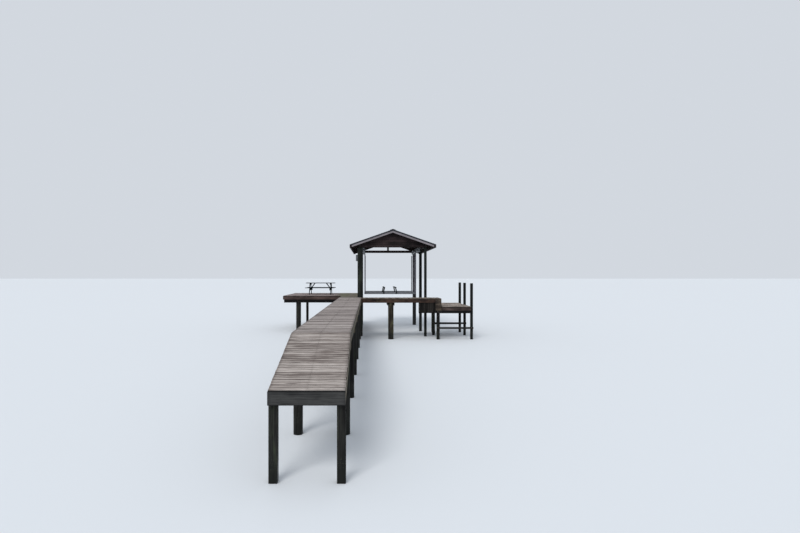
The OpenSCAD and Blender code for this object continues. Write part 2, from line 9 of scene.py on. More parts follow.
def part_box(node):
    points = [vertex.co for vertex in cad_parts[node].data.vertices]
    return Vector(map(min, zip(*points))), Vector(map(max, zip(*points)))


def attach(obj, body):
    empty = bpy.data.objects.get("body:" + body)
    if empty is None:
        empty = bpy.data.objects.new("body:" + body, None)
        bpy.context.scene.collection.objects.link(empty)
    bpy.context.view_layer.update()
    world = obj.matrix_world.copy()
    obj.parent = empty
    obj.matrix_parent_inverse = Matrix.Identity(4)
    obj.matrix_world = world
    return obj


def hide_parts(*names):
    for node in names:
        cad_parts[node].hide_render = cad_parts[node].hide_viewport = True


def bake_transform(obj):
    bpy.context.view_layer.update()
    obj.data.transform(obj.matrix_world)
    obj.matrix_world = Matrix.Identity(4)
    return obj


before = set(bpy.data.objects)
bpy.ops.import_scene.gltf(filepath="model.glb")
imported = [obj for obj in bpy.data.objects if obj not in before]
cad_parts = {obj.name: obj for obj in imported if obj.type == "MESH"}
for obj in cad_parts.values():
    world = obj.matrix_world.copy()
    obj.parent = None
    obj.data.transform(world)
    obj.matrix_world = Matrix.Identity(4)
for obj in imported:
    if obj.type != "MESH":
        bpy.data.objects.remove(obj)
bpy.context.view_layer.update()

X, Y, Z = Vector((1, 0, 0)), Vector((0, 1, 0)), Vector((0, 0, 1))
TURN = 2 * pi

# Sizes of the timber
LUMBER = 0.038          # thickness of joists, caps, rims and braces
SKIRT_T = 0.020         # thickness of the skirt's boards
BOARD = 0.089           # width of a deck board
GAP = 0.006             # gap between deck boards
RAGGED = 0.006          # how unevenly the deck boards end
SUNK = 0.0025           # how far a deck board may lie too low
NAIL = 0.0045           # radius of a nail head
NAIL_ROW = 0.27         # from a board's middle to its nails, as a share of its width
CHAMFER = 0.003         # worn edge of a board
SLICE = 0.35            # longest stretch of a board between two rings

# Sizes of the roof
ROOF_T = 0.030          # roof covering with its boards
SHEATHING_T = 0.018
SHEATHING_W = 0.140
EXPOSURE = 0.140        # visible height of a shingle course
TAB = 0.305             # width of a shingle tab
EAVE_STRIP = 0.045      # height of the metal strip along the eave
GABLE_STRIP = 0.062     # height of the metal strip along the gable edge
TAIL = 0.120            # bare end of each gable edge board, drawn in the gable boards' dark finish with its painted shade

# Sizes of the lift
CABLE_R = 0.005
PIPE_R = 0.030
DRUM_R = 0.050
DRUM_L = 0.160
WINDING = 0.0105        # from one winding of cable on a drum to the next


def add_object(name, data):
    made = bpy.data.objects.new(name, data)
    bpy.context.scene.collection.objects.link(made)
    return made


def add_camera():
    """A camera where the photograph was taken, behind the shore end and right of its middle.

    It looks straight along the walkway; the photograph's frame lies a little right and up."""
    shore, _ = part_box("ramp_deck")
    lens = bpy.data.cameras.new("camera")
    lens.sensor_width = 36.0
    lens.lens = 22.86
    lens.shift_x = 0.040
    lens.shift_y = 0.01225
    lens.clip_end = 1500.0
    camera = add_object("camera", lens)
    camera.location = (shore.x + 1.570, shore.y - 7.900, 3.270)
    camera.rotation_euler = (radians(90), 0.0, 0.0)
    bpy.context.scene.camera = camera


add_camera()


# Colours and node materials

MATERIALS = {}


def srgb(red, green, blue, share=1.0):
    """A screen colour of 0 to 255 as a linear one, dimmed to a share of its light."""
    def linear(value):
        value /= 255
        return value / 12.92 if value <= 0.04045 else ((value + 0.055) / 1.055) ** 2.4
    return (*(share * linear(value) for value in (red, green, blue)), 1.0)


class Material:
    """A node material under construction."""

    def __init__(self, name):
        self.material = MATERIALS[name] = bpy.data.materials.new(name)
        self.material.use_nodes = True
        self.tree = self.material.node_tree
        self.shader = self.tree.nodes["Principled BSDF"].inputs

    def put(self, socket, value):
        """Links an input or sets it; three numbers for a colour are a screen colour."""
        if isinstance(value, bpy.types.NodeSocket):
            self.tree.links.new(value, socket)
        else:
            on_screen = socket.type == "RGBA" and len(value) == 3
            socket.default_value = srgb(*value) if on_screen else value

    def node(self, kind, inputs, **settings):
        """The outputs of a new node."""
        made = self.tree.nodes.new("ShaderNode" + kind)
        for name, value in settings.items():
            setattr(made, name, value)
        for key, value in inputs.items():
            self.put(made.inputs[key], value)
        return made.outputs

    def attribute(self, name, output="Fac"):
        return self.node("Attribute", {}, attribute_name=name)[output]

    def place(self):
        """Where a point of the surface is at rest."""
        return self.node("TexCoord", {})["Object"]

    def parts(self, vector):
        return self.node("SeparateXYZ", {0: vector})

    def math(self, operation, a, b=0.0, c=0.0):
        return self.node("Math", {0: a, 1: b, 2: c}, operation=operation)[0]

    def times(self, a, b):
        return self.math("MULTIPLY", a, b)

    def off(self, a, b=0.0):
        """How far one value lies from another."""
        return self.math("ABSOLUTE", self.math("SUBTRACT", a, b))

    def total(self, *terms, about=0.0):
        """The sum of values times their weights, each value taken from one middle."""
        result = -about * sum(weight for _, weight in terms)
        for value, weight in terms:
            result = self.math("MULTIPLY_ADD", value, weight, result)
        return result

    def stretched(self, vector, factors):
        return self.node("VectorMath", {0: vector, 1: factors}, operation="MULTIPLY")[0]

    def noise(self, vector, stretch, detail=3.0, roughness=0.55, distortion=0.0):
        factors = stretch if isinstance(stretch, tuple) else (stretch,) * 3
        return self.node("TexNoise", {
            "Vector": self.stretched(vector, factors), "Scale": 1.0, "Detail": detail,
            "Roughness": roughness, "Distortion": distortion})[0]

    def rings(self, vector, scale, distortion, direction):
        """The growth rings of a cut end."""
        return self.node("TexWave", {"Vector": vector, "Scale": scale, "Distortion": distortion},
                         wave_type="RINGS", rings_direction=direction)[0]

    def step(self, value, low, high, to_low=0.0, to_high=1.0):
        """A smooth step from to_low to to_high as value goes from low to high."""
        return self.node("MapRange", {0: value, 1: low, 2: high, 3: to_low, 4: to_high},
                         interpolation_type="SMOOTHSTEP")[0]

    def mix(self, factor, a, b, blend="MIX"):
        return self.node("Mix", {0: factor, 6: a, 7: b}, data_type="RGBA", blend_type=blend)[2]

    def over(self, factor, colour, blend="MIX"):
        """Lays a colour over the one that is there, by a factor."""
        self.colour = self.mix(factor, self.colour, colour, blend)

    def finish(self, roughness, specular, height=0.0, depth=0.0, metallic=0.0):
        """Fills in the shader, with relief where there is depth."""
        if depth:
            relief = self.node("Bump", {"Height": height, "Distance": depth})[0]
            self.put(self.shader["Normal"], relief)
        self.put(self.shader["Base Color"], self.colour)
        self.put(self.shader["Roughness"], roughness)
        self.put(self.shader["Metallic"], metallic)
        self.put(self.shader["Specular IOR Level"], specular)


def wood(name, light, dark, spread=0.5, streaks=0.5, patches=0.35, blotches=0.2, knots=0.7,
         edge=0.35, side=0.0, moss=0.0, moss_colour=(86, 92, 58), moss_span=None, wet=0.0):
    """Sawn weathered timber, drawn along each board by its own grain coordinates.

    Growth may be kept to one side: moss_span says from where along X it starts and is full."""
    m = Material(name)
    grain, local, place = m.attribute("grain", "Vector"), m.attribute("local", "Vector"), m.place()
    near_end, across, _ = m.parts(local)
    streak = m.noise(grain, (2.2, 48, 48), 5, 0.62, 0.3)
    fibre = m.noise(grain, (9, 330, 330), 2)
    patch = m.noise(grain, (1.4, 7, 7), 3, 0.6)
    blotch = m.noise(place, 1.7, 4, 0.6)
    share = m.total((m.attribute("tint"), spread), (streak, 2.4 * streaks), (patch, 2.4 * patches),
                    (blotch, 4.0 * blotches), about=0.5)
    m.colour = m.mix(m.step(share, -0.5, 0.5), dark, light)
    m.over(1.0, m.step(fibre, 0.3, 0.7, 0.80, 1.06), "MULTIPLY")

    cell = m.node("TexVoronoi", {"Vector": m.stretched(grain, (0.9, 8, 8)), "Scale": 1.0})
    knot = m.step(cell["Distance"], 0.13, 0.05, 0.0, knots)
    m.over(knot, srgb(*dark, 0.45))
    crack = m.step(m.off(m.noise(grain, (1.3, 75, 75), 2), 0.5), 0.016, 0.003)
    crack = m.times(crack, m.step(patch, 0.48, 0.62))
    black = (24, 20, 18)
    m.over(m.times(crack, 0.75), black)

    rim = m.off(across)
    # Darker towards both long edges by edge: partly dirt, partly painted shade in the gaps between boards
    # and under a deck's edge.
    edge_dirt_and_shade = m.step(rim, 0.80, 1.0, 0.0, edge)
    tip = m.step(near_end, 0.07, 0.0, 0.0, 0.35)
    stain = m.times(m.attribute("stain"), m.step(streak, 0.3, 0.7, 0.03, 0.15))
    grime_and_edge_shade = m.math("MAXIMUM", m.math("MAXIMUM", edge_dirt_and_shade, tip), stain)
    m.over(grime_and_edge_shade, srgb(*dark, 0.5))
    if moss > 0:
        growth = m.step(m.noise(place, 1.1, 4, 0.65), 0.68 - 0.4 * moss, 0.94 - 0.4 * moss)
        growth = m.times(growth, m.step(fibre, 0.25, 0.6, 0.35, 0.85))
        if moss_span:
            growth = m.times(growth, m.step(m.parts(place)[0], *moss_span))
        m.over(growth, moss_colour)
    rings = m.rings(m.stretched(local, (0, 2.2, 1.1)), 1.3, 2.0, "X")
    end_colour = m.mix(rings, srgb(*dark, 0.2), srgb(*dark, 0.5))
    m.over(m.times(m.attribute("end"), 0.9), end_colour)
    # Painted shade in the gaps, partly dirt: the sides of the boards drawn nearly black by side.
    m.over(m.step(rim, 0.93, 0.985, 0.0, side), black)
    roughness = m.step(streak, 0.3, 0.7, 0.74 - 0.3 * wet, 0.92 - 0.3 * wet)
    height = m.total((streak, 0.6), (fibre, 0.35), (crack, -0.8))
    m.finish(roughness, 0.15 + 0.3 * wet, height, 0.0016)


def pile_wood(name, light, dark, moss, moss_colour=(62, 66, 46), wet_line=0.32):
    """A round treated pile: vertical checks, green growth and a dark wet foot."""
    m = Material(name)
    grain, place = m.attribute("grain", "Vector"), m.place()
    _, _, z = m.parts(place)
    streak = m.noise(grain, (1.5, 34, 34), 5, 0.65)
    patch = m.noise(grain, (1.2, 3.4, 3.4), 4, 0.6)
    fibre = m.noise(grain, (7, 210, 210), 2)
    share = m.total((m.attribute("tint"), 0.5), (streak, 1.5), (patch, 1.2), about=0.5)
    m.colour = m.mix(m.step(share, -0.45, 0.55), dark, light)
    growth = m.step(m.total((patch, 1.0), (streak, 0.25)), 0.80 - 0.35 * moss, 0.95 - 0.35 * moss)
    growth = m.times(growth, m.step(z, 2.6, 0.6, 0.35, 1.0))
    m.over(growth, moss_colour)

    crack = m.step(m.off(m.noise(grain, (0.8, 42, 42), 2), 0.5), 0.020, 0.004)
    m.over(m.times(crack, 0.8), (12, 11, 10))
    rings = m.rings(m.attribute("local", "Vector"), 26.0, 1.5, "Z")
    m.over(m.attribute("end"), m.mix(rings, (38, 34, 30), (84, 77, 68)))

    waver = 0.35
    level = m.total((z, 1.0), (patch, waver))
    line = wet_line + waver / 2
    foot = m.step(level, line + 0.22, line - 0.04)
    m.over(m.times(foot, 0.85), (15, 17, 13))
    crust = m.times(m.step(m.noise(place, 60), 0.55, 0.65), m.step(m.off(level, line), 0.14, 0.04))
    m.over(m.times(crust, 0.35), (96, 96, 84))
    height = m.total((streak, 0.7), (fibre, 0.3), (crack, -1.0), (crust, 1.0))
    m.finish(m.step(foot, 0.0, 1.0, 0.86, 0.42), 0.2, height, 0.004)


def paint_on_wood(name, paint, bare, worn, specular=0.2):
    """Painted timber whose paint has flaked along the grain."""
    m = Material(name)
    grain = m.attribute("grain", "Vector")
    _, across, _ = m.parts(m.attribute("local", "Vector"))
    streak = m.noise(grain, (3.0, 60, 60), 5, 0.65)
    patch = m.noise(grain, (2.0, 9, 9), 4, 0.65)
    rim = m.step(m.off(across), 0.75, 1.0, 0.0, 0.07)
    loss = m.total((streak, 0.5), (patch, 0.5), (rim, 1.0))
    flake = m.step(loss, 0.78 - 0.4 * worn, 0.81 - 0.4 * worn)
    dust = m.step(m.noise(m.place(), 2.4, 4), 0.35, 0.7, 0.0, 0.6)
    m.colour = m.mix(dust, paint, srgb(*paint, 0.6))
    m.over(flake, m.mix(streak, srgb(*bare, 0.5), bare))
    m.over(m.times(m.attribute("end"), 0.7), srgb(*bare, 0.35))
    height = m.total((streak, 0.4), (flake, -0.6))
    m.finish(m.step(flake, 0.0, 1.0, 0.75, 0.9), specular, height, 0.0012)


def metal(name, base, rusted=0.35, rough=0.5, metallic=0.6):
    """Galvanised or painted steel with dull spangle, dark runs and rust."""
    m = Material(name)
    place = m.place()
    rust = (86, 52, 36)
    fine = m.noise(place, 85)
    broad = m.noise(place, 6, 5, 0.7)
    run = m.noise(place, (30, 30, 3), 4)
    m.colour = m.mix(m.step(fine, 0.35, 0.65), srgb(*base, 0.72), base)
    m.over(m.step(run, 0.45, 0.75, 0.0, 0.45), srgb(*base, 0.4))
    spots = m.step(m.total((broad, 0.7), (fine, 0.3)), 0.74 - 0.3 * rusted, 0.82 - 0.3 * rusted)
    m.over(spots, m.mix(fine, srgb(*rust, 0.5), rust))
    height = m.total((fine, 0.3), (spots, 1.0))
    m.finish(m.step(spots, 0.0, 1.0, rough, 0.9), 0.5, height, 0.0006, metallic)


def shingle(name):
    """Mineral-faced shingles: fine grit, tabs of differing tone, streaks down the slope."""
    m = Material(name)
    place = m.place()
    grit = m.noise(place, 900, 2, 0.7)
    cloud = m.noise(place, 3.0, 4, 0.6)
    run = m.noise(place, (0.6, 7.0, 0.6), 4, 0.6)
    share = m.total((m.attribute("tint"), 0.3), (cloud, 0.45), (grit, 1.1))
    m.colour = m.mix(m.step(share, 0.65, 1.35), (27, 30, 36), (86, 90, 98))
    m.over(m.step(run, 0.52, 0.72, 0.0, 0.5), (34, 37, 36))
    m.finish(0.93, 0.2, grit, 0.0014)


def carpet(name):
    """Wet bunk carpet: short dark pile."""
    m = Material(name)
    place = m.place()
    tuft = m.noise(place, 420, 3, 0.7)
    m.colour = m.mix(m.step(tuft, 0.3, 0.7), (8, 15, 17), (24, 36, 38))
    m.over(m.step(m.noise(place, 9), 0.45, 0.7, 0.0, 0.5), (32, 38, 32))
    m.put(m.shader["Sheen Weight"], 0.1)
    m.put(m.shader["Sheen Roughness"], 0.6)
    m.finish(0.96, 0.15, tuft, 0.003)


def plastic(name, base):
    """Aged plastic pipe: chalky, with dark muck that runs down it."""
    m = Material(name)
    place = m.place()
    cloud = m.noise(place, (7, 7, 2), 4, 0.6)
    run = m.noise(place, (60, 60, 1.6), 4, 0.6)
    m.colour = m.mix(m.step(cloud, 0.35, 0.7, 0.0, 0.5), base, srgb(*base, 0.7))
    m.over(m.step(run, 0.52, 0.74, 0.0, 0.55), (58, 56, 50))
    m.finish(m.step(run, 0.4, 0.7, 0.42, 0.7), 0.45, run, 0.0004)


# side= sets how black the boards' sides are drawn: painted shade in the gaps between boards, partly dirt.
wood("deck_boards", (190, 181, 176), (98, 88, 85), spread=0.7, streaks=0.7, patches=0.3,
     blotches=0.12, side=0.9)
wood("ramp_boards", (196, 187, 181), (98, 87, 82), spread=0.35, streaks=0.8, patches=0.35,
     blotches=0.08, knots=0.9, side=0.95)
wood("side_boards", (122, 113, 98), (52, 47, 42), moss=0.5, moss_colour=(84, 88, 60))
# The header's strong edge darkening is painted shade along its top edge.
wood("header_board", (78, 78, 77), (28, 28, 29), knots=0.3, edge=0.9)
wood("cross_boards", (158, 146, 134), (82, 73, 66), side=0.85, moss=0.45, moss_colour=(88, 92, 66))
wood("cross_rims", (78, 60, 51), (22, 16, 15), streaks=0.8, blotches=0.5, moss=0.35,
     moss_colour=(74, 72, 48))
wood("platform_boards", (182, 168, 165), (104, 89, 87), blotches=0.3, side=0.9, moss=0.95,
     moss_colour=(88, 96, 62), moss_span=(-2.45, -1.75))
# The platform rims' strong edge darkening is painted shade under the deck boards' edges.
wood("platform_rims", (94, 77, 73), (37, 29, 27), streaks=0.6, blotches=0.25, edge=0.9)
wood("lower_boards", (196, 184, 174), (92, 80, 74), blotches=0.5, side=0.9)
# The lower rims' edge darkening is painted shade under the deck boards' edges.
wood("lower_rims", (92, 78, 74), (30, 25, 24), streaks=0.8, blotches=0.35, edge=0.8)
wood("beams_wet", (34, 32, 30), (9, 8, 8), moss=0.25, moss_colour=(44, 48, 34), wet=0.3)
# Timber under the roof is drawn darker than its own dark brown: partly painted shade under the roof.
wood("roof_frame", (58, 48, 47), (22, 18, 18))
wood("gable_wood", (56, 45, 46), (20, 16, 17), edge=0.7, blotches=0.5)
wood("bunk_timber", (30, 40, 42), (11, 16, 18), wet=0.3)
wood("green_boards", (176, 166, 160), (92, 82, 78), side=0.85, moss=0.85, moss_colour=(92, 98, 68))
wood("corner_wood", (136, 121, 106), (46, 40, 36), streaks=0.8, blotches=0.6, moss=0.45,
     moss_colour=(86, 86, 58))
# Painted shade: the skirt's near-black colour stands for the shadow under the cross-walk.
wood("skirt_wood_painted_shade", (44, 41, 38), (5, 5, 5), spread=2.2, streaks=0.9, side=0.9)
pile_wood("piles", (46, 46, 43), (13, 13, 13), 0.4, (50, 56, 42))
pile_wood("slip_posts", (58, 64, 57), (18, 21, 20), 0.5, (54, 62, 44))
pile_wood("dark_post", (28, 34, 32), (8, 10, 10), 0.3, (34, 42, 32))
# Pale above and near black from about 2.3 m down: its dark foot is set far above the water.
pile_wood("pale_post", (152, 145, 150), (82, 80, 85), 0.2, wet_line=2.15)
pile_wood("cross_post", (104, 94, 74), (22, 20, 18), 0.45, (78, 78, 54))
paint_on_wood("trim_boards", (136, 130, 134), (72, 64, 64), 0.3)
paint_on_wood("table_paint", (28, 36, 42), (62, 60, 57), 0.4, specular=0.0)
metal("lift_metal", (158, 160, 164))
metal("cable", (120, 122, 124), rusted=0.6, metallic=0.9)
metal("box_metal", (98, 102, 106), rusted=0.25, metallic=0.2)
metal("edge_metal", (30, 34, 42), rusted=0.1, rough=0.45, metallic=0.3)
metal("strap_metal", (34, 42, 44), rusted=0.3, rough=0.7, metallic=0.2)
metal("nail_metal", (92, 86, 82), rusted=0.8, rough=0.6)
shingle("roof_cover")
carpet("bunk_cover")
plastic("guide_pipe", (118, 116, 126))


# Meshes

class Shape:
    """The points and faces of one piece, with each point's wood coordinates."""

    def __init__(self):
        self.points = []
        self.faces = []
        self.ends = []

    def vertex(self, point, grain=(0, 0, 0), local=(1, 0, 0), tint=0.5, stain=0.0):
        self.points.append((tuple(point), tuple(grain), tuple(local), (tint,), (stain,)))
        return len(self.points) - 1

    def face(self, corners, end=0.0):
        self.faces.append(tuple(corners))
        self.ends.append(end)

    def loft(self, rings, cap=None, end=0.0):
        """Joins closed rings of points that have the same count, and caps them if asked."""
        for low, high in zip(rings, rings[1:]):
            for i in range(len(low)):
                j = (i + 1) % len(low)
                self.face((low[i], low[j], high[j], high[i]), end)
        if cap is not None:
            self.face(rings[0], cap)
            self.face(rings[-1], cap)

    def build(self, name, slot, *replaced, body="root", finish=None):
        """Makes the piece, gives it its finish and sets it on its body."""
        mesh = bpy.data.meshes.new(name)
        places, *looks = zip(*self.points)
        mesh.from_pydata(places, [], self.faces)
        for key, values in zip(("grain", "local", "tint", "stain"), looks):
            kind, field = ("FLOAT_VECTOR", "vector") if len(values[0]) == 3 else ("FLOAT", "value")
            flat = [part for value in values for part in value]
            mesh.attributes.new(key, kind, "POINT").data.foreach_set(field, flat)
        mesh.attributes.new("end", "FLOAT", "FACE").data.foreach_set("value", self.ends)
        mesh.materials.append(MATERIALS[finish or slot])
        repaired = bmesh.new()
        repaired.from_mesh(mesh)
        bmesh.ops.recalc_face_normals(repaired, faces=repaired.faces)
        repaired.to_mesh(mesh)
        repaired.free()
        mesh.polygons.foreach_set("use_smooth", [True] * len(mesh.polygons))
        mesh.set_sharp_from_angle(angle=radians(35))
        piece = add_object(name, mesh)
        if replaced:
            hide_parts(*replaced)
        if body:
            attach(piece, body)
        return piece


def islands(solid):
    """The loose solids of a mesh, each as a mesh of its own."""
    solid.faces.index_update()
    seen, found = set(), []
    for seed in solid.faces:
        if seed.index in seen:
            continue
        seen.add(seed.index)
        group = [seed]
        for reached in group:
            for face in (f for edge in reached.edges for f in edge.link_faces):
                if face.index not in seen:
                    seen.add(face.index)
                    group.append(face)
        part, copies = bmesh.new(), {}
        for face in group:
            for v in face.verts:
                if v not in copies:
                    copies[v] = part.verts.new(v.co)
            part.faces.new([copies[v] for v in face.verts])
        part.normal_update()
        found.append(part)
    return sorted(found, key=lambda part: tuple(round(c, 4) for c in middle(part)))


def corners(solid):
    """Lowest and highest corner of a mesh."""
    spans = [extent(solid, axis) for axis in (X, Y, Z)]
    return Vector([low for low, _ in spans]), Vector([high for _, high in spans])


def middle(solid):
    low, high = corners(solid)
    return (low + high) / 2


def solids(node):
    """The clean solids of a CAD node, with their flat faces whole."""
    whole = bmesh.new()
    whole.from_mesh(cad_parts[node].data)
    bmesh.ops.remove_doubles(whole, verts=whole.verts, dist=1e-5)
    bmesh.ops.dissolve_limit(whole, angle_limit=radians(0.5), verts=whole.verts, edges=whole.edges)
    return islands(whole)


def boxes(node):
    """Lowest corner, highest corner and middle of each solid of a CAD node."""
    return [(*corners(solid), middle(solid)) for solid in solids(node)]


def cut(solid, place, normal, **more):
    """Cuts a solid along a plane."""
    return bmesh.ops.bisect_plane(
        solid, geom=solid.verts[:] + solid.edges[:] + solid.faces[:], dist=1e-6,
        plane_co=place, plane_no=normal, **more)["geom_cut"]


def slab(solid, axis, low, high):
    """The part of a solid between two planes across an axis, closed again."""
    part = solid.copy()
    for limit, side in ((low, -1), (high, 1)):
        edges = [e for e in cut(part, axis * limit, axis * side, clear_outer=True)
                 if isinstance(e, bmesh.types.BMEdge)]
        if edges:
            bmesh.ops.edgeloop_fill(part, edges=edges)
    return part


def extent(solid, axis):
    spans = [v.co.dot(axis) for v in solid.verts]
    return min(spans), max(spans)


def forward(direction):
    """A direction or its opposite, whichever has its largest part positive."""
    direction = direction.normalized()
    return -direction if max(direction, key=abs) < 0 else direction


def rounded(length, direction):
    """A key that ranks like edges or faces in the same way on every run."""
    return (round(length, 4), *(round(part, 3) for part in direction))


def timber_axes(solid):
    """Along, across and through a piece of timber, from its longest edge and its faces."""
    edges = [(e.calc_length(), forward(e.verts[1].co - e.verts[0].co)) for e in solid.edges]
    _, along = max(edges, key=lambda pair: rounded(*pair))
    sides = [forward(f.normal) for f in solid.faces if abs(f.normal.dot(along)) < 0.1]
    widths = [extent(solid, n)[1] - extent(solid, n)[0] for n in sides]
    _, through = min(zip(widths, sides), key=lambda pair: rounded(*pair))
    return along, along.cross(through).normalized(), through


def own_offset(rng):
    """A place of its own in the grain."""
    return Vector([rng.uniform(0, 40) for _ in range(3)])


def add_timber(shape, solid, rng, chamfer=CHAMFER, bow=0.002):
    """Adds one solid as sawn timber: worn edges, a slight bow and its own grain."""
    along, across, through = timber_axes(solid)
    spans = [extent(solid, axis) for axis in (along, across, through)]
    start, end = spans[0]
    bmesh.ops.bevel(solid, geom=solid.edges[:], offset=chamfer, segments=1, affect="EDGES",
                    clamp_overlap=True)
    cuts = int((end - start) / SLICE)
    for i in range(1, cuts + 1):
        cut(solid, along * (start + (end - start) * i / (cuts + 1)), along)
    solid.normal_update()
    offset = own_offset(rng)
    tint = rng.uniform(0.15, 0.85)
    phase = rng.uniform(0, 90)
    first = len(shape.points)
    solid.verts.index_update()
    for v in solid.verts:
        place = a, c, t = [v.co.dot(axis) for axis in (along, across, through)]
        sway = across * (bow * noise.noise((a * 0.9 + phase, 0.5, 0.5)))
        sway += through * (bow * noise.noise((a * 0.8 + phase, 7.5, 0.5)))
        shares = [(2 * at - low - high) / max(high - low, 2e-4)
                  for at, (low, high) in zip((c, t), spans[1:])]
        shape.vertex(v.co + sway, Vector(place) + offset, (min(a - start, end - a), *shares), tint)
    for f in solid.faces:
        shape.face([first + v.index for v in f.verts], float(abs(f.normal.dot(along)) > 0.75))
    solid.free()


def block(low, high):
    """A solid that fills the box between two corners."""
    low, high = Vector(low), Vector(high)
    solid = bmesh.new()
    matrix = Matrix.LocRotScale((high + low) / 2, None, high - low)
    bmesh.ops.create_cube(solid, size=1.0, matrix=matrix)
    return solid


def add_box(shape, low, high, rng, **looks):
    """Adds a piece of timber that fills the box between two corners."""
    add_timber(shape, block(low, high), rng, **looks)


def spliced(solid, longest):
    """A long solid cut into equal lengths, as it is put together from stock timber."""
    along, _, _ = timber_axes(solid)
    low, high = extent(solid, along)
    count = max(1, ceil((high - low) / longest))
    if count == 1:
        return [solid]
    step = (high - low) / count
    return [slab(solid, along, low + i * step, low + (i + 1) * step) for i in range(count)]


def timber(name, slot, node, seed, longest=100.0, **looks):
    """Replaces a CAD node by the same solids as sawn timber."""
    rng = random.Random(seed)
    shape = Shape()
    for solid in solids(node):
        for part in spliced(solid, longest):
            add_timber(shape, part, rng, **looks)
    shape.build(name, slot, node)


# Round pieces, plates and fasteners

def circle(shape, centre, side, other, radius, count, fins=0.0, start=0.0):
    """A ring of points, every other one deeper by the fins."""
    angles = [start + TURN * i / count for i in range(count)]
    return [shape.vertex(centre + (side * cos(t) + other * sin(t)) * (radius - fins * (i % 2)))
            for i, t in enumerate(angles)]


def turned(shape, base, axis, profile, sides=24, fins=0.0, side=None):
    """A round piece: heights along its axis with radii, and True where it has fins."""
    side = side or axis.orthogonal().normalized()
    shape.loft([circle(shape, Vector(base) + axis * height, side, axis.cross(side), radius, sides,
                       fins * any(finned))
                for height, radius, *finned in profile], cap=0.0)


def sweep(shape, path, radius, sides=8):
    """A round tube along a path."""
    rings, side = [], None
    for i, place in enumerate(path):
        ahead = (path[min(i + 1, len(path) - 1)] - path[max(i - 1, 0)]).normalized()
        side = side or ahead.orthogonal()
        side = (side - ahead * side.dot(ahead)).normalized()
        rings.append(circle(shape, place, side, ahead.cross(side), radius, sides))
    shape.loft(rings, cap=0.0)


def extrude(shape, outline, place, stations):
    """Draws an outline out through the stations; place says where its points lie."""
    shape.loft([[shape.vertex(place(a, b, s)) for a, b in outline] for s in stations], cap=0.0)


def add_metal(shape, solid, rounding=0.002):
    """Adds a solid with its sharp edges rounded."""
    sharp = [e for e in solid.edges if e.calc_face_angle(0.0) > radians(30)]
    bmesh.ops.bevel(solid, geom=sharp, offset=rounding, segments=2, affect="EDGES",
                    clamp_overlap=True)
    first = len(shape.points)
    solid.verts.index_update()
    for v in solid.verts:
        shape.vertex(v.co)
    for f in solid.faces:
        shape.face([first + v.index for v in f.verts])
    solid.free()


def add_block(shape, low, high, rounding):
    """Adds a metal block between two corners."""
    add_metal(shape, block(low, high), rounding)


def add_bolt(shape, point, out):
    """A washer and a six-sided bolt head."""
    turned(shape, point, out, ((-0.002, 0.024), (0.0035, 0.024), (0.004, 0.0235)), 16)
    turned(shape, point, out, ((0.002, 0.014), (0.011, 0.014), (0.013, 0.011)), 6)


# Boards of the decks

NAIL_HEAD = ((-0.004, NAIL), (0.0008, NAIL), (0.0016, NAIL * 0.7))


class Board:
    """One deck board with its own bow and cup, from which points are taken."""

    def __init__(self, start, axes, size, rng, bow=0.0025, cup=0.0015):
        self.start = start
        self.axes = axes
        self.size = size
        self.bow = bow
        self.cup = rng.uniform(-cup, cup)
        self.twist = rng.uniform(-1, 1) * 0.010
        self.phase = rng.uniform(0, 90)
        self.offset = own_offset(rng)
        self.tint = rng.random()

    def point(self, a, u, w):
        """A place along the board, and across and up from its middle."""
        along, across, up = self.axes
        length, width, _ = self.size
        side = self.bow * noise.noise((a * 0.8 + self.phase, 0.5, 0.5))
        lift = self.bow * noise.noise((a * 0.9 + self.phase, 7.5, 0.5))
        lift += self.cup * (2 * u / width) ** 2 + self.twist * u * (a / length - 0.5)
        return self.start + along * a + across * (u + side) + up * (w + lift)

    def add(self, shape, bearers=()):
        """Adds the board, with a dark band where it lies on a bearer."""
        length, width, thick = self.size
        stations = dict.fromkeys((0.0, CHAMFER, length - CHAMFER, length), 0.0)
        for b in bearers:
            for a, stain in ((b - 0.05, 0.0), (b, 1.0), (b + 0.05, 0.0)):
                if CHAMFER * 2 < a < length - CHAMFER * 2:
                    stations[a] = stain
        rings = []
        for a, stain in sorted(stations.items()):
            inset = CHAMFER * 0.7 if a in (0.0, length) else 0.0
            half, deep = width / 2 - inset, thick / 2 - inset
            over = [(-half + CHAMFER, deep), (0.0, deep), (half - CHAMFER, deep),
                    (half, deep - CHAMFER), (half, CHAMFER - deep)]
            rings.append([
                shape.vertex(self.point(a, u, w), self.offset + Vector((a, u, w)),
                             (min(a, length - a), 2 * u / width, 2 * w / thick), self.tint, stain)
                for u, w in over + [(-u, -w) for u, w in over]])
        shape.loft(rings, cap=1.0)


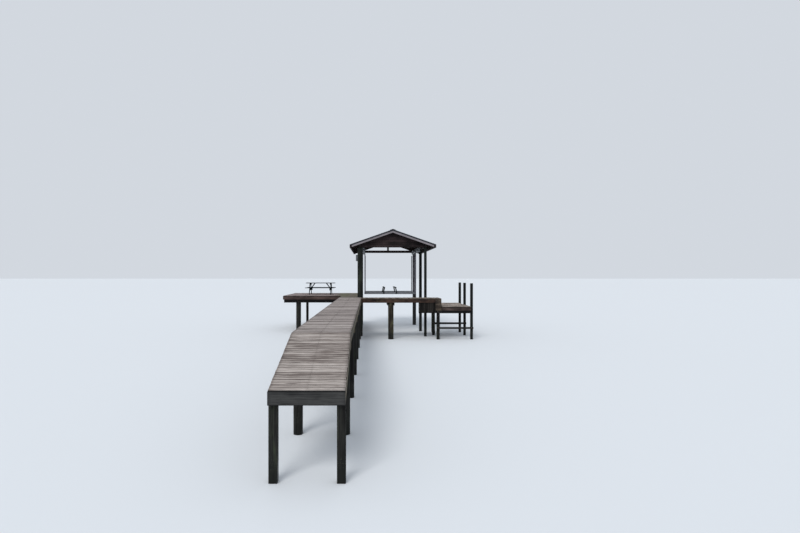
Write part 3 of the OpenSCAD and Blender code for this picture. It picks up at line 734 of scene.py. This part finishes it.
def lay_deck(nails, name, slot, replaced, corner, length, depth, rng, axes=(X, Y, Z), inner=None,
             butts=None, finish=None):
    """Covers an area with boards, side by side from its corner at the top of the deck.

    The first axis runs along the boards and the second from board to board. Bearers lie under
    their ends and at the inner places, else at the middle; butts says on which ones they meet."""
    shape = Shape()
    along, across, up = axes
    bearers = [LUMBER / 2, *(inner or [length / 2]), length - LUMBER / 2]
    count = round((depth + GAP) / (BOARD + GAP))
    pitch = (depth + GAP) / count
    width = pitch - GAP
    for i in range(count):
        stretches = [(0.0, length)]
        if butts and i % 3:
            joint = bearers[butts[i % len(butts)]]
            stretches = [(0.0, joint - 0.0015), (joint + 0.0015, length)]
        for a0, a1 in stretches:
            a0 += rng.uniform(0.0, 1.0) * RAGGED * (a0 == 0.0)
            a1 -= rng.uniform(0.0, 1.5) * RAGGED * (a1 == length)
            start = Vector(corner) + along * a0 + across * (width / 2 + i * pitch)
            start -= up * (LUMBER / 2 + rng.uniform(0.0, SUNK))
            board = Board(start, axes, (a1 - a0, width, LUMBER), rng)
            local = [b - a0 for b in bearers if a0 < b < a1]
            board.add(shape, local)
            for b in local:
                for row in (-NAIL_ROW, NAIL_ROW):
                    a = min(max(b + rng.uniform(-0.008, 0.008), 0.02), a1 - a0 - 0.02)
                    u = (row + rng.uniform(-0.03, 0.03)) * width
                    turned(nails, board.point(a, u, LUMBER / 2), up, NAIL_HEAD, 8, side=along)
    shape.build(name, slot, *replaced, finish=finish)


def top_of(low, high):
    """The first corner of a deck's top, its length along X and its depth along Y."""
    return (low.x, low.y, high.z), high.x - low.x, high.y - low.y


def build_decks():
    """Every deck as separate boards, and the nails in them as one piece."""
    nails = Shape()
    walk_low, walk_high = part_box("walkway_deck")
    ramp_low, ramp_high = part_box("ramp_deck")
    cross_low, cross_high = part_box("crosswalk_deck")
    plat_low, plat_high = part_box("platform_deck")
    walk_w = walk_high.x - walk_low.x

    foot = Vector((ramp_low.x, ramp_low.y, ramp_low.z + LUMBER))
    run = Vector((ramp_low.x, ramp_high.y, ramp_high.z)) - foot
    slope = run.normalized()
    lay_deck(nails, "ramp_planks", "ramp_boards", ["ramp_deck"], foot + slope * LUMBER, walk_w,
             run.length - LUMBER, random.Random(11), (X, slope, X.cross(slope)))
    rng = random.Random(12)
    lay_deck(nails, "walkway_planks", "deck_boards", ["walkway_deck"],
             (walk_low.x, walk_low.y, walk_high.z), walk_w, cross_high.y - walk_low.y, rng)
    lay_deck(nails, "walkway_outer_planks", "deck_boards", [],
             (walk_low.x, cross_high.y + GAP, walk_high.z), plat_high.x - walk_low.x,
             walk_high.y - cross_high.y - GAP, rng, inner=[walk_w / 2], finish="green_boards")
    lay_deck(nails, "crosswalk_planks", "cross_boards", ["crosswalk_deck"],
             (cross_high.x, cross_low.y, cross_high.z), cross_high.y - cross_low.y,
             cross_high.x - cross_low.x, random.Random(13), (Y, -X, Z))
    joists = [mid.x - plat_low.x for _, _, mid in boxes("platform_joists")]
    lay_deck(nails, "platform_planks", "platform_boards", ["platform_deck"],
             *top_of(plat_low, plat_high), random.Random(14), inner=joists, butts=(3, 5, 2))
    lay_deck(nails, "lower_planks", "lower_boards", ["lower_deck"],
             *top_of(*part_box("lower_deck")), random.Random(15))
    nails.build("deck_nails", "lift_metal", finish="nail_metal")


# Framing under the decks and in the roof

def add_rim(name, slot, node, rng, shares, **looks):
    """The boards round a deck: two along X at its ends, and others at shares of its width."""
    shape = Shape()
    low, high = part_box(node)
    for y in (low.y, high.y - LUMBER):
        add_box(shape, (low.x, y, low.z), (high.x, y + LUMBER, high.z), rng)
    for share in shares:
        x = low.x + share * (high.x - LUMBER - low.x)
        add_box(shape, (x, low.y + LUMBER, low.z), (x + LUMBER, high.y - LUMBER, high.z), rng,
                **looks)
    shape.build(name, slot, node)


def build_corner(rng):
    """The boarded corner of the cross-walk and the slatted skirt under it, drawn nearly black as painted
    shade.
    """
    shape = Shape()
    facing, backing = sorted(solids("crosswalk_corner"), key=lambda solid: middle(solid).y)
    low, high = corners(facing)
    step = (high.z - low.z) / 3
    for z in (low.z, low.z + step, low.z + 2 * step):
        add_box(shape, (low.x, low.y, z + 0.002), (high.x, high.y, z + step), rng)
    beam_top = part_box("lower_beams")[1].z
    add_box(shape, (low.x + 0.006, low.y, beam_top + 0.002), (high.x, high.y, low.z), rng)
    shape.build("crosswalk_corner_boards", "cross_rims", finish="corner_wood")

    skirt = Shape()
    near, far = extent(backing, Y)
    low, high = corners(slab(backing, Y, near, near + SKIRT_T))
    batten_low, batten_high = corners(slab(backing, Y, near + SKIRT_T, far))
    high.x = batten_high.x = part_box("lower_piles")[0].x - 0.004
    count = 10
    pitch = (high.x - low.x) / count
    for i in range(count):
        x = low.x + i * pitch
        add_box(skirt, (x + 0.004, low.y, low.z + rng.uniform(0.0, 0.05)),
                (x + pitch - rng.uniform(0.004, 0.020), high.y, high.z), rng)
    add_box(skirt, batten_low, batten_high, rng)
    # The skirt is finished nearly black: painted shade under the cross-walk.
    skirt.build("crosswalk_skirt_boards", "beams_wet", "crosswalk_corner", finish="skirt_wood_painted_shade")


def build_framing():
    """Joists, beams, caps, braces and rims, and the timber of the roof."""
    timber("ramp_stringer_boards", "side_boards", "ramp_stringers", 22)
    timber("walkway_stringer_boards", "side_boards", "walkway_stringers", 23, longest=4.9)
    timber("walkway_cap_boards", "side_boards", "walkway_caps", 24)
    timber("shore_post_timbers", "piles", "shore_posts", 26, chamfer=0.006)
    timber("platform_joist_boards", "beams_wet", "platform_joists", 27)
    timber("platform_beam_boards", "beams_wet", "platform_beams", 28)
    timber("lower_beam_boards", "beams_wet", "lower_beams", 29)
    timber("lower_brace_boards", "beams_wet", "lower_braces", 30, bow=0.005)
    timber("crosswalk_cap_boards", "cross_rims", "crosswalk_cap", 31)
    timber("slip_tie_beams", "roof_frame", "tie_beams", 32)
    timber("slip_king_posts", "roof_frame", "king_posts", 33)
    timber("slip_rafters", "roof_frame", "rafters", 34)
    timber("slip_ridge_board", "roof_frame", "ridge_board", 35, longest=4.3)
    timber("eave_fascia_boards", "trim_boards", "eave_fascias", 36, longest=4.3)

    rng = random.Random(21)
    header = Shape()
    low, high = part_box("shore_header")
    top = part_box("ramp_deck")[0].z + LUMBER - 0.002
    add_box(header, low, (high.x, high.y - 0.002, top), rng)
    header.build("shore_header_board", "header_board", "shore_header")

    cross = Shape()
    low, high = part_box("crosswalk_joists")
    inner = high.x - LUMBER
    for y in (low.y, (low.y + high.y - LUMBER) / 2, high.y - LUMBER):
        add_box(cross, (low.x, y, low.z), (inner, y + LUMBER, high.z), rng)
    add_box(cross, (inner, low.y, low.z), high, rng)
    cross.build("crosswalk_joist_boards", "cross_rims", "crosswalk_joists")

    build_corner(rng)
    add_rim("platform_rim_boards", "platform_rims", "platform_rim", rng, (0, 1), bow=0.0)
    add_rim("lower_rim_boards", "lower_rims", "lower_rim", rng, (0, 0.5, 1))

    eaves = Shape()
    for low, high, mid in boxes("eave_beams"):
        third = (high.y - low.y) / 3
        for x0, x1, joint in ((low.x, mid.x, low.y + third), (mid.x, high.x, low.y + 2 * third)):
            add_box(eaves, (x0, low.y, low.z), (x1, joint, high.z), rng)
            add_box(eaves, (x0, joint, low.z), (x1, high.y, high.z), rng)
    eaves.build("eave_beam_boards", "roof_frame", "eave_beams")


# Piles

def add_pile(shape, low, high, rng):
    """A round pile: slightly out of round, with open checks and a worn top."""
    foot, top = low.z, high.z
    diameter = high.x - low.x
    centre = Vector(((low.x + high.x) / 2, (low.y + high.y) / 2, 0))
    sides, splits = 28, 5
    checks = [(rng.uniform(0, TURN), rng.uniform(foot, top), rng.uniform(0.4, 1.3),
               rng.uniform(0.006, 0.014)) for _ in range(splits)]
    angles = {TURN * i / sides for i in range(sides)}
    angles |= {(turn + shift) % TURN for turn, *_ in checks for shift in (-0.035, 0.0, 0.035)}
    offset = own_offset(rng)
    tint = rng.random()
    phase = rng.uniform(0, 90)

    def add_point(out, z, grain):
        return shape.vertex(centre + out + Z * z, grain, out, tint)

    count = max(4, int((top - foot) / 0.13))
    rings = []
    for z in [foot + (top - foot) * i / count for i in range(count)] + [top - 0.012, top]:
        ring = []
        for angle in sorted(angles):
            direction = Vector((cos(angle), sin(angle), 0))
            waver = noise.noise(direction * 1.3 + Vector((0, 0, z * 0.7 + phase)))
            radius = diameter * (0.4925 + 0.014 * waver) - 0.010 * (z == top)
            for turn, level, reach, depth in checks:
                if abs((angle - turn + pi) % TURN - pi) < 0.02:
                    radius -= depth * max(0.0, 1 - abs(z - level) / reach)
            out = direction * radius
            ring.append(add_point(out, z, Vector((z, out.x, out.y)) + offset))
        rings.append(ring)
    shape.loft(rings)
    shape.face(rings[0])
    for share in (0.66, 0.5):
        inner = []
        for i in rings[-1]:
            out = (Vector(shape.points[i][0]) - centre) * share
            z = top + rng.uniform(-0.004, 0.0)
            inner.append(add_point(Vector((out.x, out.y, 0)), z, (centre.x + out.x, centre.y + out.y, z)))
        shape.loft([rings[-1], inner], end=1.0)
        rings.append(inner)
    shape.face(rings[-1], end=1.0)


def piles(name, slot, node, seed, finish=None, last=None):
    """Replaces a CAD node's round solids by piles; the last one may have a finish of its own."""
    rng = random.Random(seed)
    shape = Shape()
    logs = sorted(boxes(node), key=lambda box: box[0].y)
    for low, high, _ in logs:
        if last and low == logs[-1][0]:
            shape.build(name, slot, finish=finish)
            shape, name, finish = Shape(), name + "_rear", last
        add_pile(shape, low, high, rng)
    shape.build(name, slot, node, finish=finish)


def build_piles():
    piles("walkway_pile_logs", "piles", "walkway_piles", 41)
    piles("crosswalk_pile_log", "piles", "crosswalk_pile", 42, "cross_post")
    piles("platform_pile_logs", "piles", "platform_piles", 43)
    piles("lower_pile_logs", "piles", "lower_piles", 44)
    piles("mooring_post_logs", "piles", "mooring_posts", 45, "dark_post")
    piles("slip_post_logs_left", "slip_posts", "slip_posts_left", 46)
    piles("slip_post_logs_right", "slip_posts", "slip_posts_right", 47, "dark_post", "pale_post")


# The roof

class Slope:
    """One slope of the roof, read from its CAD solid."""

    def __init__(self, node):
        solid = solids(node)[0]
        top = max(solid.faces, key=lambda f: f.calc_area() * (f.normal.z > 0.5))
        low, high = corners(solid)
        self.up = top.normal.copy()
        self.down = Y.cross(self.up)
        if self.down.z > 0:
            self.down = -self.down
        apex = max(top.verts, key=lambda v: v.co.z).co
        self.start = Vector((apex.x, low.y, apex.z)) - self.up * ROOF_T
        near, far = extent(top, self.down)
        self.length = far - near
        self.reach = high.y - low.y

    def point(self, y, down, above):
        """A place along the roof, down the slope and above its underside."""
        return self.start + Y * y + self.down * down + self.up * above


def lay_sheathing(shape, slope, rng):
    """Boards along the roof, from the eave to just short of the ridge."""
    gap, short = 0.003, 0.012
    count = round((slope.length - short) / (SHEATHING_W + gap))
    pitch = (slope.length - short) / count
    for i in range(count):
        joint = rng.uniform(0.25, 0.75) * slope.reach
        for y0, y1 in ((0.002, joint - 0.001), (joint + 0.001, slope.reach - 0.002)):
            start = slope.point(y0, short + (i + 0.5) * pitch, SHEATHING_T / 2)
            size = (y1 - y0, pitch - gap, SHEATHING_T)
            Board(start, (Y, slope.down, slope.up), size, rng, bow=0.0006, cup=0.0004).add(shape)


def add_tab(shape, slope, y0, y1, butt, height, rng):
    """One shingle: thin and flat above, with a slightly lifted lower edge."""
    tint = rng.random()
    sag = rng.uniform(-0.002, 0.002)
    rings = []
    for i in range(4):
        y = y0 + (y1 - y0) * i / 3
        curl = rng.uniform(0.0, 0.0012) if i in (0, 3) else 0.0
        edge = butt + sag + rng.uniform(-0.001, 0.001)
        rings.append([shape.vertex(slope.point(y, down, above), tint=tint) for down, above in (
            (edge, 0.0260 + curl), (edge, 0.0292 + curl), (butt - height / 2, 0.0260),
            (butt - height, 0.0224), (butt - height, 0.0200), (butt - height / 2, 0.0232))])
    shape.loft(rings, cap=0.0)


def lay_shingles(shape, slope, rng):
    """The underlay, and courses of shingles from the eave up."""
    underlay = [(0.0, 0.0182), (slope.reach, 0.0182), (slope.reach, 0.0198), (0.0, 0.0198)]
    extrude(shape, underlay, lambda y, n, down: slope.point(y, down, n), (0.006, slope.length))
    count = round(slope.length / EXPOSURE)
    exposure = slope.length / count
    slot = 0.008
    for i in range(count):
        butt = slope.length - i * exposure
        height = min(2 * exposure + 0.02, butt - 0.004)
        y = -TAB * (0.5 * (i % 2) + rng.uniform(0.0, 0.12))
        while y < slope.reach - 0.02:
            left, right = max(y, 0.0), min(y + TAB - slot, slope.reach)
            if right - left > 0.02:
                add_tab(shape, slope, left, right, butt, height, rng)
            y += TAB


def lay_ridge_caps(shape, rng):
    """Bent cap shingles that overlap along the ridge, their edges facing the shore."""
    low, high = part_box("ridge_cap")
    half = (high.x - low.x) / 2
    left = Slope("roof_left")
    fall = -left.down.z / abs(left.down.x)
    ridge_z = left.point(0.0, 0.0, ROOF_T).z
    room = high.z - ridge_z
    count = round((high.y - low.y) / EXPOSURE)
    pitch = (high.y - low.y) / count
    across = [-half, -0.10, -0.05, -0.02, 0.0, 0.02, 0.05, 0.10, half]
    outline = [(x, -0.004) for x in across] + [(x, 0.0) for x in reversed(across)]
    for i in range(count):
        tint = rng.random()
        near = low.y + i * pitch
        centre = low.x + half + rng.uniform(-0.004, 0.004)
        shape.loft([[
            shape.vertex((centre + x, y, ridge_z + lift + under - fall * abs(x)
                          - 0.010 * exp(-(x / 0.02) ** 2)), tint=tint) for x, under in outline]
            for y, lift in ((near, room - 0.003), (min(near + 2 * pitch, high.y), room - 0.012))],
            cap=0.0)


def add_edge_strips(shape, slope):
    """Folded metal strips along the eave and both gable edges."""
    t, flange, top = 0.0012, 0.060, 0.0212

    def fold(height):
        return [(flange, top), (flange, top - t), (t, top - t), (t, top - height),
                (0.0, top - height), (0.0, top)]

    down = (0.004, slope.length)
    gable = fold(GABLE_STRIP)
    extrude(shape, gable, lambda y, n, d: slope.point(y, d, n), down)
    extrude(shape, gable, lambda y, n, d: slope.point(slope.reach - y, d, n), down)
    extrude(shape, fold(EAVE_STRIP), lambda d, n, y: slope.point(y, slope.length - d, n),
            (0.002, slope.reach - 0.002))


def build_roof():
    for side, seed in (("left", 51), ("right", 52)):
        slope = Slope("roof_" + side)
        rng = random.Random(seed)
        boards, shingles, strips = Shape(), Shape(), Shape()
        lay_sheathing(boards, slope, rng)
        boards.build("roof_sheathing_" + side, "roof_frame")
        lay_shingles(shingles, slope, rng)
        shingles.build("roof_shingles_" + side, "roof_cover", "roof_" + side)
        add_edge_strips(strips, slope)
        strips.build("roof_edge_strips_" + side, "roof_cover", finish="edge_metal")
    caps = Shape()
    lay_ridge_caps(caps, random.Random(53))
    caps.build("roof_ridge_shingles", "roof_cover", "ridge_cap")


def build_gable():
    """Lapped boards that close the front gable, and the mitred boards along each gable edge."""
    rng = random.Random(54)
    lap, thin = 0.007, 0.013
    boards, rakes, tails = Shape(), Shape(), Shape()
    solid = solids("gable_boards")[0]
    low, high = corners(solid)
    for i in range(ceil((high.z - low.z) / SHEATHING_W)):
        z0 = low.z + i * SHEATHING_W
        course = slab(solid, Z, z0, min(z0 + SHEATHING_W, high.z))
        for v in course.verts:
            leaning = low.y + lap * (v.co.z - z0) / SHEATHING_W
            v.co.y = leaning + (thin if v.co.y > (low.y + high.y) / 2 else 0.0)
        add_timber(boards, course, rng, bow=0.001)
    boards.build("gable_siding_boards", "gable_wood", "gable_boards")

    for solid in solids("rake_boards"):
        low, high = corners(solid)
        apex = (low.x + high.x) / 2
        for shape, x0, x1 in ((rakes, low.x + TAIL, apex - 0.001),
                              (rakes, apex + 0.001, high.x - TAIL),
                              (tails, low.x, low.x + TAIL - 0.002),
                              (tails, high.x - TAIL + 0.002, high.x)):
            add_timber(shape, slab(solid, X, x0, x1), rng)
    rakes.build("gable_edge_boards", "trim_boards", "rake_boards")
    tails.build("gable_edge_ends", "trim_boards", finish="gable_wood")


# The boat lift

def build_switch_box():
    """A small steel cabinet: body, door with hinges and a latch, and a rain lip."""
    shape = Shape()
    low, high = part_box("switch_box")
    door = low.x + 0.016
    add_block(shape, (door, low.y, low.z), high, 0.005)
    add_block(shape, (low.x + 0.002, low.y + 0.004, low.z + 0.012),
              (door - 0.002, high.y - 0.004, high.z - 0.016), 0.004)
    add_block(shape, (low.x, low.y - 0.003, high.z - 0.010),
              (high.x, high.y + 0.003, high.z - 0.004), 0.001)
    for share in (0.2, 0.8):
        z = low.z + share * (high.z - low.z) - 0.02
        turned(shape, (door, high.y - 0.001, z), Z, ((0.0, 0.005), (0.04, 0.005)), 12)
    turned(shape, (low.x + 0.004, low.y + 0.018, (low.z + high.z) / 2), -X,
           ((0.0, 0.009), (0.003, 0.009), (0.004, 0.007)), 16)
    shape.build("switch_cabinet", "box_metal", "switch_box")


def build_hangers():
    """Plates that hang the drive pipes, bolted to the eave beams."""
    shape = Shape()
    ridge_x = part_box("ridge_board")[0].x
    for solid in solids("lift_hangers"):
        low, high = corners(solid)
        x = low.x + (0.75 if low.x > ridge_x else 0.25) * (high.x - low.x)
        for z in (high.z - 0.03, high.z - 0.08):
            turned(shape, (x, low.y, z), -Y, ((-0.001, 0.009), (0.006, 0.009), (0.007, 0.008)), 6)
        add_metal(shape, solid, 0.0015)
    shape.build("lift_hanger_plates", "lift_metal", "lift_hangers")


def build_drums(axis_z, cables):
    """Pipes with flanged drums, and the cable that is wound on them from where it hangs off."""
    pipes, windings = Shape(), Shape()
    grooves = [(0.006 + WINDING * k / 2, DRUM_R - 0.0015 * (k % 2 == 0))
               for k in range(2 * int(DRUM_L / WINDING) - 2)]
    drum = ((0.0, 0.063), (0.005, 0.064), (0.006, 0.060), *grooves,
            (DRUM_L - 0.006, 0.060), (DRUM_L - 0.005, 0.064), (DRUM_L, 0.063))
    for low, high, mid in boxes("drive_pipes"):
        length = high.y - low.y
        turned(pipes, (mid.x, low.y, axis_z), Y, (
            (0.0, PIPE_R - 0.001), (0.001, PIPE_R), (length - 0.001, PIPE_R),
            (length, PIPE_R - 0.001)))
        for _, _, cable in cables:
            if abs(cable.x - mid.x) > 0.2:
                continue
            centre = Vector((mid.x, cable.y, axis_z))
            turned(pipes, centre - Y * DRUM_L / 2, Y, drum, 32)
            towards = X if cable.x > mid.x else -X
            sweep(windings, [
                centre + (towards * cos(t) + Z * sin(t)) * (DRUM_R + CABLE_R) - Y * WINDING * t / TURN
                for t in (TURN * i / 20 for i in range(7 * 20 + 1))], CABLE_R, 6)
    pipes.build("lift_drive_pipes", "lift_metal", "drive_pipes")
    windings.build("lift_cable_windings", "cable")


def build_winches(axis_z):
    """Gear housings and finned motors."""
    shape = Shape()
    r = 0.064
    for _, high, mid in boxes("winches"):
        x, y = mid.x, high.y - 0.120
        add_block(shape, (x - 0.060, y, axis_z - 0.085), (x + 0.060, high.y, axis_z + 0.065), 0.010)
        add_block(shape, (x - 0.063, y + 0.030, axis_z - 0.070),
                  (x + 0.063, y + 0.090, axis_z + 0.050), 0.006)
        turned(shape, (x, y, axis_z - 0.010), -Y, (
            (0.0, r), (0.020, r), (0.022, r, True), (0.150, r, True), (0.152, r - 0.004),
            (0.178, r - 0.004), (0.192, r - 0.010), (0.200, r - 0.024)), 56, fins=0.008)
    shape.build("lift_gear_motors", "lift_metal", "winches")


def build_cradle_beams(cables):
    """The beams that the bunks stand on, with a shackle for each cable."""
    shape = Shape()
    top = min(low.z for low, _, _ in cables) - 0.050
    for solid in solids("cradle_beams"):
        add_metal(shape, slab(solid, Z, corners(solid)[0].z, top), 0.003)
    for _, _, mid in cables:
        x, y = mid.x, mid.y
        add_block(shape, (x - 0.020, y - 0.020, top), (x + 0.020, y + 0.020, top + 0.006), 0.001)
        add_block(shape, (x - 0.005, y - 0.016, top + 0.004), (x + 0.005, y + 0.016, top + 0.026),
                  0.002)
        bow = [Vector((x + 0.012 * cos(t), y, top + 0.024 + 0.018 * sin(t)))
               for t in (pi * k / 12 for k in range(13))]
        sweep(shape, [bow[0] - Z * 0.010, *bow, bow[-1] - Z * 0.010], 0.004)
        turned(shape, (x - 0.018, y, top + 0.016), X, ((0.0, 0.006), (0.036, 0.006)), 12)
        turned(shape, (x, y, top + 0.040), Z,
               ((0.0, 0.006), (0.002, 0.0085), (0.040, 0.0085), (0.042, 0.006)), 12)
    shape.build("cradle_beam_sections", "lift_metal", "cradle_beams", body="cradle")


def build_bunk_brackets():
    """Timber posts for the bunks, strapped to the beams."""
    brackets, straps = Shape(), Shape()
    rng = random.Random(61)
    middle_x = sum(corner.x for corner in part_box("bunks")) / 2
    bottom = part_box("cradle_beams")[0].z
    for solid in solids("bunk_brackets"):
        low, high = corners(solid)
        add_timber(brackets, solid, rng, chamfer=0.005)
        x = low.x + 0.050 if high.x < middle_x else high.x - 0.050
        for y, out in ((low.y, -1), (high.y, 1)):
            y0, y1 = sorted((y, y - out * 0.0045))
            add_block(straps, (x - 0.045, y0, bottom), (x + 0.045, y1, low.z), 0.0015)
            for z in (bottom + 0.035, low.z - 0.035):
                turned(straps, (x, y - out * 0.001, z), Y * out,
                       ((-0.001, 0.011), (0.0008, 0.011), (0.001, 0.010)), 6)
    straps.build("bunk_bracket_straps", "bunk_timber", body="cradle", finish="strap_metal")
    brackets.build("bunk_bracket_posts", "bunk_timber", "bunk_brackets", body="cradle")


def build_bunks():
    """Timbers wrapped in carpet, slightly uneven."""
    shape = Shape()
    r = 0.022
    for low, high, mid in boxes("bunks"):
        half = (high - low) / 2
        turns = [(sx, sz, radians(start + 22.5 * k)) for sx, sz, start in (
            (1, 1, 0), (-1, 1, 90), (-1, -1, 180), (1, -1, 270)) for k in range(5)]
        outline = [Vector((sx * (half.x - r) + r * cos(t), 0, sz * (half.z - r) + r * sin(t)))
                   for sx, sz, t in turns]
        count = int((high.y - low.y) / 0.06)
        rings = []
        for k in range(count + 1):
            centre = Vector((mid.x, low.y + (high.y - low.y) * k / count, mid.z))
            end = 0.86 if k in (0, count) else 1.0
            rings.append([shape.vertex(centre + out * end - out.normalized() * (
                0.0022 * (1 + noise.noise((centre + out * end) * 9.0)))) for out in outline])
        shape.loft(rings, cap=0.0)
    shape.build("bunk_carpets", "bunk_cover", "bunks", body="cradle")


def build_guide_poles():
    """Plastic pipes with a cap and two bands, each on a steel foot beside its beam."""
    shape = Shape()
    r = PIPE_R
    cradle_y = sum(corner.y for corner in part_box("cradle_beams")) / 2
    for low, high, _ in boxes("guide_poles"):
        y, inner = (low.y + r, high.y) if low.y < cradle_y else (high.y - r, low.y)
        x = (low.x + high.x) / 2
        height = high.z - low.z
        turned(shape, (x, y, low.z), Z, (
            (0.0, r - 0.005), (0.10, r - 0.005), (0.10, r), (height - 0.062, r),
            (height - 0.060, r + 0.003), (height - 0.006, r + 0.003), (height, r - 0.004)), 28)
        for level in (0.13, 0.20):
            turned(shape, (x, y, low.z + level), Z, (
                (0.0, r + 0.001), (0.001, r + 0.003), (0.017, r + 0.003), (0.018, r + 0.001)), 28)
        y0, y1 = sorted((y, inner))
        add_block(shape, (low.x, y0, low.z), (high.x, y1, low.z + 0.008), 0.001)
    shape.build("guide_pole_pipes", "guide_pipe", "guide_poles", body="cradle")


def build_cables(cables):
    """Wire ropes from the drums down to the beams."""
    shape = Shape()
    lay, sides, steps = 0.075, 12, 12
    for low, high, mid in cables:
        top, bottom = high.z, low.z
        count = round((top - bottom) / lay * steps)
        heights = [top - (top - bottom) * k / count for k in range(count + 1)]
        shape.loft([
            circle(shape, Vector((mid.x, mid.y, z)), X, Y, 0.8 * CABLE_R, sides,
                   fins=-0.2 * CABLE_R, start=TURN * (top - z) / lay) for z in heights], cap=0.0)
    piece = shape.build("lift_wire_ropes", "cable", "lift_cables", body=None)
    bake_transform(piece)


def build_lift():
    cables = boxes("lift_cables")
    axis_z = max(high.z for _, high, _ in cables)
    build_hangers()
    build_drums(axis_z, cables)
    build_winches(axis_z)
    build_cradle_beams(cables)
    build_bunk_brackets()
    build_bunks()
    build_guide_poles()
    build_cables(cables)


# The table

def build_table():
    rng = random.Random(71)
    boards, frames = Shape(), Shape()
    first = solids("table_boards")[0]
    along, _, _ = timber_axes(first)
    centre = sum(extent(first, along)) / 2
    for solid in solids("table_boards"):
        add_timber(boards, solid, rng)
    boards.build("table_top_and_seats", "table_paint", "table_boards")

    for solid in solids("table_frames"):
        low, high = extent(solid, along)
        outward = 1 if low + high > 2 * centre else -1
        edge = high if outward > 0 else low
        for start, end in ((0, LUMBER), (LUMBER, 2 * LUMBER), (2 * LUMBER, high - low)):
            near, far = sorted((edge - outward * start, edge - outward * end))
            for piece in islands(slab(solid, along, near, far)):
                add_timber(frames, piece, rng, chamfer=0.004)
    frames.build("table_legs_and_beams", "table_paint", "table_frames")


# Bolts

def bolt_beams(shape, pile_node, beam_node):
    """Bolts through each clamped beam, where a pile stands against its side."""
    for low, high, _ in boxes(beam_node):
        for post_low, post_high, post in boxes(pile_node):
            for share, shift in ((0.3, 0.03), (0.7, -0.03)):
                z = low.z + (high.z - low.z) * share
                for along, out, axis in ((0, 1, Y), (1, 0, X)):
                    gap = min(abs(low[out] - post_high[out]), abs(high[out] - post_low[out]))
                    if (post_low.z <= z <= post_high.z and low[along] < post[along] < high[along]
                            and 0 < gap < 0.05):
                        side = 1 if low[out] > post[out] else -1
                        place = Vector((0, 0, z))
                        place[along] = post[along] + shift
                        place[out] = high[out] if side > 0 else low[out]
                        add_bolt(shape, place, axis * side)


def build_bolts():
    bolts = Shape()
    for pair in (("walkway_piles", "walkway_caps"), ("crosswalk_pile", "crosswalk_cap"),
                 ("platform_piles", "platform_beams"), ("lower_piles", "lower_beams"),
                 ("lower_piles", "lower_braces"), ("mooring_posts", "lower_braces")):
        bolt_beams(bolts, *pair)
    bolts.build("frame_bolts", "lift_metal", finish="nail_metal")


build_decks()
build_framing()
build_piles()
build_roof()
build_gable()
build_switch_box()
build_lift()
build_table()
build_bolts()


# The scene around it

def build_stage():
    """A plain pale floor under the pile feet, a pale world and soft light."""
    ground = bpy.data.meshes.new("floor")
    reach, level = 700.0, -0.001
    ground.from_pydata([(-reach, -reach, level), (reach, -reach, level),
                        (reach, reach, level), (-reach, reach, level)], [], [(0, 1, 2, 3)])
    floor = add_object("floor", ground)
    pale = Material("floor")
    pale.colour = (222, 226, 230)
    pale.finish(0.9, 0.1)
    ground.materials.append(pale.material)

    scene = bpy.context.scene
    scene.world = bpy.data.worlds.new("studio")
    scene.world.use_nodes = True
    background = scene.world.node_tree.nodes["Background"].inputs
    background["Color"].default_value = srgb(226, 232, 240)
    background["Strength"].default_value = 0.85

    sun = bpy.data.lights.new("key", "SUN")
    sun.energy = 1.6
    sun.angle = radians(25)
    sun.color = (1.0, 0.98, 0.95)
    add_object("key", sun).rotation_euler = (radians(42), radians(-22), 0.0)
    scene.view_settings.view_transform = "Standard"


build_stage()
